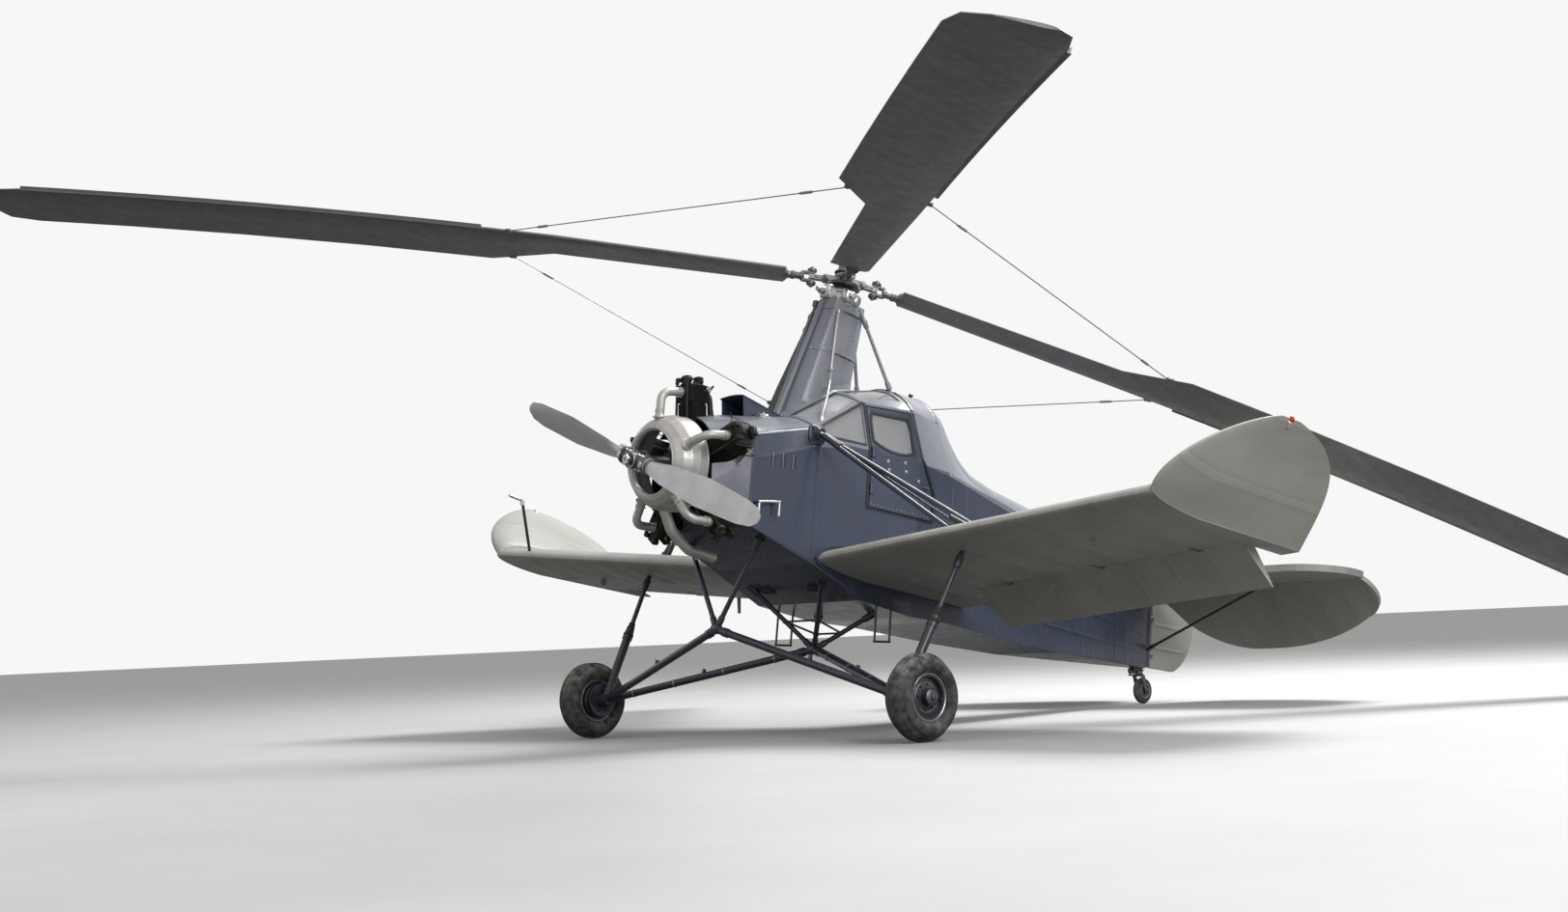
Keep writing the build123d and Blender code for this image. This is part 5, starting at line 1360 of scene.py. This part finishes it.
# %% [markdown]
# The wheels carry fat tyres on pressed rims. A bright rolled edge shows where the rim ends, the disc
# has a ring of bolts, and the hub a cap with a nut. Ribs run round the tyre's shoulders, and the
# valve sticks out of the disc. Everything here turns with the wheel.

# %% Rims, bolts, caps and tyre ribs
AXLE = np.array([1.666, -1.172, 0.0928])
OUTWARD = (1, 0, 0)


def axle_hoops(rows, sides, around):
    """Hoops round the port axle, from rows of (distance out, radius, thickness)."""
    return [hoop(AXLE + (dx, 0, 0), OUTWARD, radius, thickness, sides, around)
            for dx, radius, thickness in rows]


edges = axle_hoops([(-0.061, 0.1455, 0.0052), (0.061, 0.1455, 0.0052)], 64, 10)
disc = [turned([(0.033, 0.06), (0.0395, 0.064), (0.04, 0.098), (0.035, 0.104)], AXLE, OUTWARD, 48,
               closed=True),
        studs(bolt_circle("X", 8, 0.081, 0.04) + AXLE, OUTWARD, 0.0085, 0.01, 6),
        turned([(0.084, 0.0535), (0.09, 0.0535), (0.096, 0.046), (0.1, 0.03), (0.1, 0.022)], AXLE,
               OUTWARD, 36),
        turned([(0.098, 0.022), (0.112, 0.022), (0.115, 0.017), (0.115, 0.01), (0.122, 0.009)], AXLE,
               OUTWARD, 6),
        bar(AXLE + (0.038, 0.118, 0), AXLE + (0.066, 0.112, 0), 0.0055, 10)]
drum = [turned([(-0.092, 0.112), (-0.092, 0.116), (-0.088, 0.118), (-0.05, 0.118), (-0.046, 0.114),
                (-0.046, 0.055), (-0.05, 0.055), (-0.052, 0.11), (-0.086, 0.11)], AXLE, OUTWARD, 48,
               closed=True)]
drum += axle_hoops([(dx, 0.1185, 0.0022) for dx in (-0.084, -0.076, -0.068, -0.06)], 48, 6)
ribs = axle_hoops([(-0.03, 0.2715, 0.0026), (-0.012, 0.2722, 0.0026), (0.012, 0.2722, 0.0026),
                   (0.03, 0.2715, 0.0026)]
                  + [(dx, radius, thickness) for out, radius, thickness in
                     ((0.0935, 0.19, 0.003), (0.0855, 0.1715, 0.0028), (0.085, 0.2325, 0.0032),
                      (0.0725, 0.16, 0.0045)) for dx in (out, -out)], 72, 8)
for body in ("wheel_left", "wheel_right"):
    for name, parts, finish in (("rim_edge_", edges, bare_metal),
                                ("wheel_disc_fittings_", disc, hub_steel),
                                ("brake_drum_", drum, hub_steel), ("tyre_ribs_", ribs, tyre_rubber)):
        make_object(name + body, one_side(parts, body), finish, body)
print("wheels dressed")

# %% [markdown]
# The landing gear is welded from tubes. The shock legs have a ribbed boot over the sliding joint and
# an eye at each end, and the axle struts carry a brake pipe held by clips.

# %% Shock leg boots, brake plates and pipes
STUB = np.array([1.504, -1.172, 0.0928])
FRONT_APEX, REAR_APEX = np.array([0, -1.453, 0.53]), np.array([0, -0.546, 0.502])
leg_foot, leg_top = STUB + (0, 0, 0.02), np.array([1.594, -0.783, 1.1])
leg_way, leg_length = unit(leg_top - leg_foot), np.linalg.norm(leg_top - leg_foot)
knee, wing_meet = leg_length * 0.52, leg_length - 0.085
ridges = [(-0.045, 0.0325), (-0.043, 0.038), (-0.03, 0.038)]
for k in range(3):
    ridges += [(0.022 * (k - 1), 0.035 - 0.0022 * k), (0.022 * k - 0.012, 0.03 - 0.0022 * k)]
ridges += [(0.05, 0.0235), (0.062, 0.0235), (0.064, 0.0172)]
boots = [turned(np.array(ridges) + (knee, 0), leg_foot, leg_way, 28)]
make_object("shock_boots", both_sides(boots), black_rubber)
fit = [sleeve(0.012, 0.0322, 0.0375, leg_foot + leg_way * s, leg_way, 28)
       for s in (0.05, 0.14, knee - 0.06)]
fit += [turned(np.array([(-0.075, 0.0172), (-0.07, 0.024), (-0.02, 0.027), (0.01, 0.027)])
               + (wing_meet, 0), leg_foot, leg_way, 20),
        turned([(-0.046, 0.047), (-0.052, 0.03), (-0.052, 0.012)], STUB, OUTWARD, 28),
        turned([(0.0395, 0.02), (0.0395, 0.118), (0.0425, 0.121), (0.0455, 0.118), (0.0455, 0.02)],
               STUB, OUTWARD, 44, closed=True),
        studs(bolt_circle("X", 6, 0.078, 0.0395, 0.4) + STUB, (-1, 0, 0), 0.007, 0.008, 6)]
for apex in (FRONT_APEX, REAR_APEX):
    way = STUB - apex
    fit += [sleeve(0.022, 0.0262, 0.0315, apex + way * share, way) for share in (0.055, 0.93)]
    tab = apex + way * 0.52
    fit += [block(tab + (0, 0, 0.034), (0.01, 0.014, 0.02), 0.5, 0.5, 8, 16),
            bar(tab + (-0.014, 0, 0.044), tab + (0.014, 0, 0.044), 0.005, 8)]
make_object("gear_fittings", both_sides(fit), strut_paint)

pipe_path = [REAR_APEX + way * s + (0, 0.018, 0.0285) for s in (0.06, 0.3, 0.6, 0.88)]
pipe_path += [STUB + (-0.06, 0.085, 0.07), STUB + (0.005, 0.075, 0.062), STUB + (0.038, 0.068, 0.05)]
brake = [along_path(smooth_path(pipe_path, 50), 0.0052, 8, (0, 0, 1))]
brake += [sleeve(0.006, 0.0262, 0.0285, REAR_APEX + way * s, way, 20) for s in (0.18, 0.42, 0.66, 0.86)]
make_object("brake_pipes", both_sides(brake), wire_steel)
print("gear fittings", len(fit))

# %% [markdown]
# Thin rods tie the legs of the rear pyramid together. A plate with a bolt closes each apex, and a
# collar marks every place where a leg meets the body.

# %% Pyramid rods, apex plates and feet
front_feet, rear_feet = np.array([0.407, -0.89, 0.96]), np.array([0.32, -0.22, 0.82])
joint = {(name, side): REAR_APEX + (foot * (side, 1, 1) - REAR_APEX) * 0.4
         for name, foot in (("front", front_feet), ("rear", rear_feet)) for side in (-1, 1)}
rods = [bar(joint[first], joint[second], 0.0075, 10) for first, second in
        ((("front", -1), ("rear", -1)), (("rear", -1), ("rear", 1)), (("front", 1), ("rear", 1)),
         (("front", -1), ("front", 1)))]
rods += [block(spot, (0.022, 0.022, 0.016), 0.8, 0.8, 8, 16) for spot in joint.values()]
for apex, radius, half in ((FRONT_APEX, 0.034, 0.026), (REAR_APEX, 0.04, 0.032)):
    rods += [turned([(half - 0.002, radius * 0.92), (half + 0.008, radius * 0.86), (half + 0.01, 0.018),
                     (half + 0.02, 0.018), (half + 0.022, 0.013)], apex, (side, 0, 0), 24)
             for side in (-1, 1)]
for foot, apex in ((np.array([0.375, -1.438, 1.155]), FRONT_APEX), (front_feet, REAR_APEX),
                   (rear_feet, REAR_APEX)):
    for side in (-1, 1):
        top = foot * (side, 1, 1)
        way = unit(top - apex)
        under = np.interp(top[1], STATIONS[:, 0], STATIONS[:, 2])
        meet = apex + way * ((under - apex[2]) / way[2])
        rods += [turned([(-0.085, 0.0174), (-0.075, 0.024), (-0.012, 0.026), (0.0, 0.034),
                         (0.004, 0.034)], meet, way, 20),
                 turned([(0.03, 0.0174), (0.036, 0.0225), (0.09, 0.0225), (0.1, 0.0174)], apex, way, 20)]
make_object("pyramid_fittings", rods, strut_paint)
print("pyramid fittings", len(rods))

# %% [markdown]
# The tail surfaces hang on hinges along round spars, so each hinge is a collar about its own axis and
# looks the same at any angle. The rudder has thin tapes, and the elevators have horns.

# %% Tail hinges, horns, lamp and strut ends
ELEVATOR_LINE = np.array([0, 3.15, 1.452])
RUDDER_BACK = 3.232


def hinge(place, axis, inner, outer):
    """Rounded collar of a hinge, 44 mm long."""
    return turned([(-0.022, inner), (-0.018, outer), (0.018, outer), (0.022, inner)], place, axis, 26)


collars = []
for x, side in ((x, side) for x in (0.3, 0.95, 1.55) for side in (-1, 1)):
    collars += [hinge(ELEVATOR_LINE + (side * x, 0, 0), OUTWARD, 0.0225, 0.0255),
                block((side * x, 3.112, 1.452), (0.015, 0.028, 0.022), 0.4, 0.4, 8, 18)]
for z in (0.9, 1.2, 1.56, 1.78):
    collars += [hinge((0, RUDDER_BACK, z), (0, 0, 1), 0.0205, 0.0238),
                block((0, 3.206, z), (0.018, 0.014, 0.016), 0.4, 0.4, 8, 18)]
horns, tapes = [], []
for side in (-1, 1):
    foot, head = np.array([side * 0.014, 3.165, 0.94]), np.array([side * 1.25, 3.08, 1.432])
    way = unit(head - foot)
    collars += [turned([(0, 0.012), (0.01, 0.018), (0.045, 0.017), (0.075, 0.0112)], spot, d, 16)
                for spot, d in ((foot + way * 0.045, way), (head - way * 0.035, -way))]
    collars.append(turned([(-0.006, 0.036), (0.006, 0.036), (0.009, 0.028)], (side * 1.235, 3.08, 1.424),
                          (0, 0, -1), 24))
    for flip in (-1, 1):
        edge = np.array([(0.012, 0.0), (0.055, 0.0), (0.02, 0.135), (0.008, 0.145), (-0.004, 0.135)])
        points, faces = slab(*[np.column_stack([np.full(5, side * 0.135 + e), edge * (1, flip)])
                               for e in (-0.004, 0.004)])
        horns.append((carried(shifted(*ELEVATOR_LINE) @ spun("X", -38.0), points),
                      faces if flip > 0 else [face[::-1] for face in faces]))
make_object("tail_fittings", collars, hub_steel)
make_object("elevator_horns", horns, hub_steel, "elevators")
for z, reach in ((0.97, 0.42), (1.16, 0.46), (1.35, 0.44), (1.54, 0.38), (1.72, 0.24)):
    for side in (-1, 1):
        back = np.linspace(3.262, RUDDER_BACK + reach, 14)
        path = np.column_stack([np.full(14, side * 0.0172), back, np.full(14, z)])
        tapes.append(strip(path, np.broadcast_to([side, 0, 0], path.shape), 0.03, 0.0014, 0.001))
make_object("rudder_tapes", tapes, tail_fabric, "rudder")
for name, profile, finish in (
        ("rudder_lamp_base", [(0, 0.016), (0.012, 0.018), (0.016, 0.018)], bare_metal),
        ("rudder_lamp", [(0.015, 0.0155), (0.026, 0.0145), (0.034, 0.009), (0.036, 0.003)], clear_glass)):
    make_object(name, [turned(profile, (0, 3.716, 1.4), (0, 1, 0.12), 18)], finish, "rudder")

# %% [markdown]
# The tailwheel has a rim with five bolts. A tiller turns with its fork, and the bush above it
# stays with the leg and carries a grease nipple.

# %% Tailwheel rim, bush and tiller
TAILWHEEL, FORK = np.array([0, 3.154, 0.606]), np.array([0, 3.094, 0.711])
rim = [hoop(TAILWHEEL + (dx, 0, 0), OUTWARD, 0.058, 0.003, 40, 8) for dx in (-0.0305, 0.0305)]
rim += [studs(bolt_circle("X", 5, 0.04, side * 0.0265) + TAILWHEEL, (side, 0, 0), 0.0045, 0.005, 6)
        for side in (-1, 1)]
make_object("tailwheel_rim", rim, bare_metal, "tailwheel")
fork = [turned([(0.006, 0.03), (0.018, 0.03), (0.021, 0.024), (0.021, 0.016)], FORK, (0, 0, 1), 28)]
fork += [turned([(0.048, 0.0125), (0.054, 0.0125), (0.057, 0.009), (0.064, 0.008)], TAILWHEEL,
                (side, 0, 0), 6) for side in (1, -1)]
fork.append(block(FORK + (0, -0.032, 0.012), (0.075, 0.014, 0.006), 0.4, 0.4, 8, 20))
fork += [bar(FORK + (s * 0.066, -0.032, 0.004), FORK + (s * 0.066, -0.032, 0.028), 0.005, 8)
         for s in (-1, 1)]
make_object("tailwheel_tiller", fork, hub_steel, "tailwheel_fork")
leg = [turned([(z, 0.0305), (z, 0.035), (z + 0.01, 0.035), (z + 0.01, 0.0305)], FORK, (0, 0, 1), 28,
              closed=True) for z in (0.024, 0.068)]
leg.append(turned([(0, 0.006), (0.01, 0.006), (0.012, 0.008), (0.018, 0.006), (0.02, 0.003)],
                  FORK + (0.03, 0, 0.052), OUTWARD, 10))
make_object("tailwheel_bush", leg, hub_steel)
print("tail pieces ready")

# %% [markdown]
# The cabin holds a bench seat with loose cushions over a painted box. Each cushion is a closed pad:
# two crowned sheets meet at a rounded edge, its sides pull in between the corners, and sewn channels
# press lines into it. A round piping runs along its seams. The pads stand for the plain solid, which
# stays in the physics model.

# %% Cushion surface
ROWS, COLUMNS = 90, 48
CHANNELS = np.array([-0.3, -0.15, 0.0, 0.15, 0.3])
CHANNEL_WIDTH, CHANNEL_DEPTH = 0.011, 0.22


def cushion(half, crown):
    """Two sheets on a square grid: height times a rounded edge term, plus a crown, less a narrow
    bell curve at each channel; the border is shared, and the sides pull in between the corners."""
    s, t = (np.sin(np.linspace(-np.pi / 2, np.pi / 2, n)) for n in (ROWS, COLUMNS))
    u, v = np.meshgrid(s, t, indexing="ij")
    edge = ((1 - np.abs(u) ** 5) * (1 - np.abs(v) ** 5)).clip(0) ** 0.36
    x = u * half[0] * (1 - 0.022 * (1 - v ** 2))
    y = v * half[1] * (1 - 0.04 * (1 - u ** 2))
    dips = np.exp(-((u * half[0])[..., None] - CHANNELS) ** 2 / CHANNEL_WIDTH ** 2).sum(-1)
    fold = 0.0018 * np.sin(70 * u * half[0] + 9 * v) * np.sin(48 * v * half[1] + 5 * u) * (1 - v ** 8)
    top = (edge * (half[2] * (1 - CHANNEL_DEPTH * dips) + fold)
           + crown * (1 - u ** 2) * (1 - v ** 4) * (1 - 0.6 * dips))
    index = np.arange(ROWS * COLUMNS).reshape(ROWS, COLUMNS)
    under = index + ROWS * COLUMNS
    for line in (np.s_[0], np.s_[-1], np.s_[:, 0], np.s_[:, -1]):
        under[line] = index[line]
    quads = grid_faces(ROWS, COLUMNS, close_columns=False)
    points = [np.stack([x, y, z], -1).reshape(-1, 3) for z in (top, -edge * half[2] * 0.9)]
    faces = np.concatenate([quads[:, ::-1], under.reshape(-1)[quads]])
    border = np.concatenate([index[:, 0], index[-1, 1:], index[-2::-1, -1], index[0, -2:0:-1]])
    return np.concatenate(points), faces, border


def tidy_mesh(piece):
    """Merge what coincides, drop loose points and turn every face outwards."""
    work = bmesh.new()
    work.from_mesh(piece.data)
    bmesh.ops.remove_doubles(work, verts=work.verts, dist=1e-5)
    loose = [v for v in work.verts if not v.link_faces]
    bmesh.ops.delete(work, geom=loose, context="VERTS")
    bmesh.ops.recalc_face_normals(work, faces=work.faces)
    work.to_mesh(piece.data)
    work.free()


def piping(rim, radius=0.0042, around=8):
    """Round cord on a closed seam: circles square to the seam, one for each of its points."""
    side = np.cross(unit(np.roll(rim, -1, 0) - np.roll(rim, 1, 0)), [0, 0, 1.0])[:, None]
    a = np.linspace(0, 2 * np.pi, around, endpoint=False)[None, :, None]
    ring = rim[:, None] + radius * (np.cos(a) * side + np.sin(a) * np.array([0, 0, 1.0]))
    return ring.reshape(-1, 3), grid_faces(len(rim), around, close_rows=True)


SEAT = shifted(0, -0.355, 1.24)
BACK = shifted(0, -0.12, 1.5) @ spun("X", -12) @ spun("X", 90)
cushions = []
for name, frame_of, half, crown in (("seat_cushion", SEAT, (0.438, 0.204, 0.05), 0.014),
                                    ("back_cushion", BACK, (0.438, 0.258, 0.036), 0.012)):
    points, faces, border = cushion(half, crown)
    pad = make_object(name, [(points, faces)], seat_leather, within=frame_of, sharp=60)
    tidy_mesh(pad)
    pad.data.polygons.foreach_set("use_smooth", [True] * len(pad.data.polygons))
    upper = points[:ROWS * COLUMNS].reshape(ROWS, COLUMNS, 3)
    sewn = [piping(points[border][::2] * (1.002, 1.004, 1))]
    for channel in CHANNELS:
        line = upper[np.abs(upper[:, COLUMNS // 2, 0] - channel).argmin(), 3:-3]
        sewn.append(along_path(line + (0, 0, 0.0008), 0.0018, 6, (1, 0, 0)))
    make_object(name + "_piping", sewn, seat_leather, within=frame_of)
    cushions.append(pad)
box = [block((0, -0.36, 1.0), (0.398, 0.158, 0.184), 0.1, 0.1, 16, 40),
       block((0, -0.52, 1.0), (0.33, 0.006, 0.13), 0.16, 0.16, 12, 32),
       bar((-0.405, -0.512, 1.184), (0.405, -0.512, 1.184), 0.009, 10),
       moved(BACK, block((0, 0, -0.04), (0.436, 0.254, 0.009), 0.14, 0.14, 8, 40))]
seat_box = make_object("seat_box", box, seam_paint, slot="blue_paint")
for stand_in in (seat_box, *cushions):
    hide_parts("bench_seat")
print("cushions:", {pad.name: len(pad.data.polygons) for pad in cushions})

# %% [markdown]
# The instrument panel has round dials, each with a bezel, a pale ring of ticks and a needle on a
# glass-black face. A few switches and a throttle quadrant sit below them. The two sticks pass
# through leather boots, and pedals stand in front of them. Webbing belts lie on the cushions.

# %% Dials, switches, pedals, sticks and belts
BACKWARD = np.array([0, 1.0, 0])


def clock_hand(angle):
    """Direction on a dial, turned from straight up."""
    return np.array([math.sin(angle), 0, math.cos(angle)])


bezels, marks, levers = [], [], []
for x, needle in zip((-0.22, -0.11, 0.0, 0.11, 0.22), (210, 330, 20, 300, 120)):
    centre = np.array([x, -0.973, 1.72])
    screws = np.array([(sx * 0.036, 0.0, sz * 0.036) for sx in (-1, 1) for sz in (-1, 1)])
    bezels += [turned([(-0.004, 0.0385), (-0.004, 0.0435), (0.004, 0.0435), (0.0055, 0.0405),
                       (0.0055, 0.0375), (0.001, 0.0365)], centre, BACKWARD, 36, closed=True),
               studs(centre + screws, BACKWARD, 0.003, 0.002)]
    a = np.linspace(0, 2 * np.pi, 24, endpoint=False)
    face = centre + BACKWARD * 0.0012
    marks += [bar(face + clock_hand(angle) * inner, face + clock_hand(angle) * 0.0325, 0.0007, 4)
              for inner, where in ((0.0285, a), (0.025, a[::4])) for angle in where]
    hand = clock_hand(math.radians(needle))
    marks.append(swept([centre + hand * reach + BACKWARD * 0.003 for reach in (-0.007, 0.026)],
                       [(-0.0016, -0.0004), (0.0016, -0.0004), (0.0006, 0.0006), (-0.0006, 0.0006)],
                       BACKWARD))
    bezels.append(turned([(0.001, 0.0045), (0.005, 0.004), (0.006, 0.002)], centre, BACKWARD, 14))
for x in np.linspace(-0.25, 0.25, 6):
    levers += [turned([(-0.002, 0.008), (0.003, 0.008), (0.005, 0.005)], (x, -0.985, 1.622), BACKWARD,
                      12),
               turned([(0, 0.0028), (0.014, 0.0028), (0.02, 0.0048), (0.024, 0.0032)], (x, -0.985, 1.622),
                      (0, 1, -0.5), 10)]
for x in (-0.04, 0.0, 0.04):
    levers += [bar((x, -0.988, 1.585), (x, -0.93, 1.6), 0.0032, 8),
               block((x, -0.925, 1.601), (0.011, 0.01, 0.011), 1, 1, 8, 14)]
boots, pedals, belts = [], [], []
for side in (-1, 1):
    boots.append(turned([(-0.02, 0.062), (0.0, 0.064), (0.01, 0.055), (0.018, 0.058), (0.028, 0.042),
                         (0.036, 0.045), (0.046, 0.028), (0.054, 0.03), (0.066, 0.016), (0.075, 0.0125)],
                        (side * 0.23, -0.789, 0.893), (0, 0.09, 1), 24))
    for x in (side * 0.23 - 0.1, side * 0.23 + 0.1):
        pedals += [block((x, -0.985, 1.1), (0.042, 0.012, 0.058), 0.3, 0.3, 10, 22),
                   bar((x, -0.99, 0.99), (x, -0.99, 1.08), 0.009, 8)]
        pedals += [bar((x - 0.036, -0.971, z), (x + 0.036, -0.971, z), 0.003, 6)
                   for z in (1.07, 1.1, 1.13)]
    for reach, out in ((0.16, 0.17), (-0.12, -0.17)):
        x = side * 0.215
        path = smooth_path([(x + out, -0.175, 1.302), (x + out, -0.22, 1.318),
                            (x + reach * 0.7, -0.34, 1.312), (x + reach * 0.2, -0.44, 1.308)], 30)
        belts.append(swept(path, [(-0.022, -0.0012), (0.022, -0.0012), (0.022, 0.0012), (-0.022, 0.0012)],
                           UP))
pedals.append(bar((-0.4, -0.99, 0.992), (0.4, -0.99, 0.992), 0.012, 10))
for name, parts, finish, slot in (
        ("dial_bezels", bezels, bare_metal, None), ("dial_marks", marks, wheel_paint, None),
        ("panel_levers", levers, hub_steel, None), ("stick_boots", boots, black_rubber, "seat_leather"),
        ("rudder_pedals", pedals, hub_steel, None), ("lap_belts", belts, tail_fabric, "seat_leather")):
    make_object(name, parts, finish, slot=slot)
print("dials", 5, "marks", len(marks), "levers", len(levers))

# %% [markdown]
# The floor is one large pale disc. It looks pale to the camera and to reflections, but sends less
# light back up than it shows, because grass under a real machine leaves the undersides dark. The
# world is a soft even light, and two large lamps stand for a high sun behind the tail and for the
# open sky on the camera's side.

# %% Floor, world and lamps
def linked(name, data):
    """A new object in the scene."""
    made = bpy.data.objects.new(name, data)
    bpy.context.scene.collection.objects.link(made)
    return made


def make_floor():
    """A disc 1 mm below the wheels, up to 160 m out, with its colour by the kind of ray."""
    rings = np.array([0.01, 6.0, 20.0, 60.0, 160.0])[:, None]
    angle = np.linspace(0, 2 * np.pi, 64, endpoint=False)
    points = np.stack([rings * np.cos(angle), rings * np.sin(angle), 0 * rings * angle - 0.001], -1)
    mesh = bpy.data.meshes.new("floor")
    mesh.from_pydata(points.reshape(-1, 3).tolist(), [], grid_faces(len(rings), 64).tolist())
    floor = linked("floor", mesh)
    f = Finish("floor_pale", 0.85)
    pale = f.mix(f.spread(f.noise(0.8, 3), 0.3, 0.7), (0.7, 0.7, 0.69), (0.66, 0.66, 0.65))
    seen = f.tree.nodes.new("ShaderNodeLightPath").outputs
    straight = f.math("MAXIMUM", seen["Is Camera Ray"], seen["Is Transmission Ray"])
    shaded = f.mix(seen["Is Glossy Ray"], (0.11, 0.11, 0.105), (0.26, 0.26, 0.25))
    f.colour(f.mix(straight, shaded, pale))
    floor.data.materials.append(f.material)


def make_world(plain=0.42, shown=0.93, mirror_share=0.55):
    """Even white light: full to the camera and through glass, part of it to mirrors."""
    world = bpy.data.worlds.new("studio")
    bpy.context.scene.world = world
    world.use_nodes = True
    tree = world.node_tree
    seen, strength = [tree.nodes.new("ShaderNode" + kind) for kind in ("LightPath", "MapRange")]
    straight, mirror = tree.nodes.new("ShaderNodeMath"), tree.nodes.new("ShaderNodeMath")
    straight.operation, mirror.operation = "MAXIMUM", "MULTIPLY_ADD"
    back = tree.nodes["Background"]
    for source, target in ((seen.outputs["Is Camera Ray"], straight.inputs[0]),
                           (seen.outputs["Is Transmission Ray"], straight.inputs[1]),
                           (seen.outputs["Is Glossy Ray"], mirror.inputs[0]),
                           (straight.outputs[0], mirror.inputs[2]),
                           (mirror.outputs[0], strength.inputs["Value"]),
                           (strength.outputs[0], back.inputs["Strength"])):
        tree.links.new(source, target)
    mirror.inputs[1].default_value = mirror_share
    strength.inputs["To Min"].default_value = plain
    strength.inputs["To Max"].default_value = shown
    back.inputs["Color"].default_value = (1, 1, 1, 1)


def make_lamp(name, place, target, size, energy):
    """A square lamp that faces a target."""
    lamp = bpy.data.lights.new(name, "AREA")
    lamp.size, lamp.energy = size, energy
    holder = linked(name, lamp)
    holder.location = place
    holder.rotation_euler = (Vector(target) - Vector(place)).to_track_quat("-Z", "Y").to_euler()


make_floor()
make_world()
make_lamp("key", (1.0, 9.0, 13.0), (0, 0, 1.5), 6.0, 2300)
make_lamp("fill", (13.0, -3.0, 8.0), (0, 0, 1.5), 8.0, 900)
print("floor, world and two lamps")

# %% [markdown]
# The camera stands low off the port bow, where the photographer stood. Its place, turn and focal
# length come from a fit of known sizes to the picture.

# %% Camera
FOCAL_PIXELS, IMAGE_WIDTH, SENSOR = 2145.84, 1624, 36.0
camera_data = bpy.data.cameras.new("camera")
camera_data.sensor_width = SENSOR
camera_data.lens = FOCAL_PIXELS / IMAGE_WIDTH * SENSOR
camera_data.clip_end = 500
camera = linked("camera", camera_data)
yaw, pitch, roll = math.radians(47.128), math.radians(4.822), math.radians(-2.547)
forward = np.array([-math.sin(yaw) * math.cos(pitch), math.cos(yaw) * math.cos(pitch), math.sin(pitch)])
right = np.array([math.cos(yaw), math.sin(yaw), 0.0])
upward = np.cross(right, forward)
pose = np.eye(4)
pose[:3, 0] = math.cos(roll) * right + math.sin(roll) * upward
pose[:3, 1] = -math.sin(roll) * right + math.cos(roll) * upward
pose[:3, 2] = -forward
pose[:3, 3] = (10.552, -10.46 + PARK_SHIFT[1], 0.72)
camera.matrix_world = Matrix(pose.tolist())
bpy.context.scene.camera = camera
print("camera at", pose[:3, 3].round(3), "lens", round(camera_data.lens, 1), "mm")

# %% [markdown]
# Last, the view transform is set to Standard.

# %% Finish
bpy.context.scene.view_settings.view_transform = "Standard"
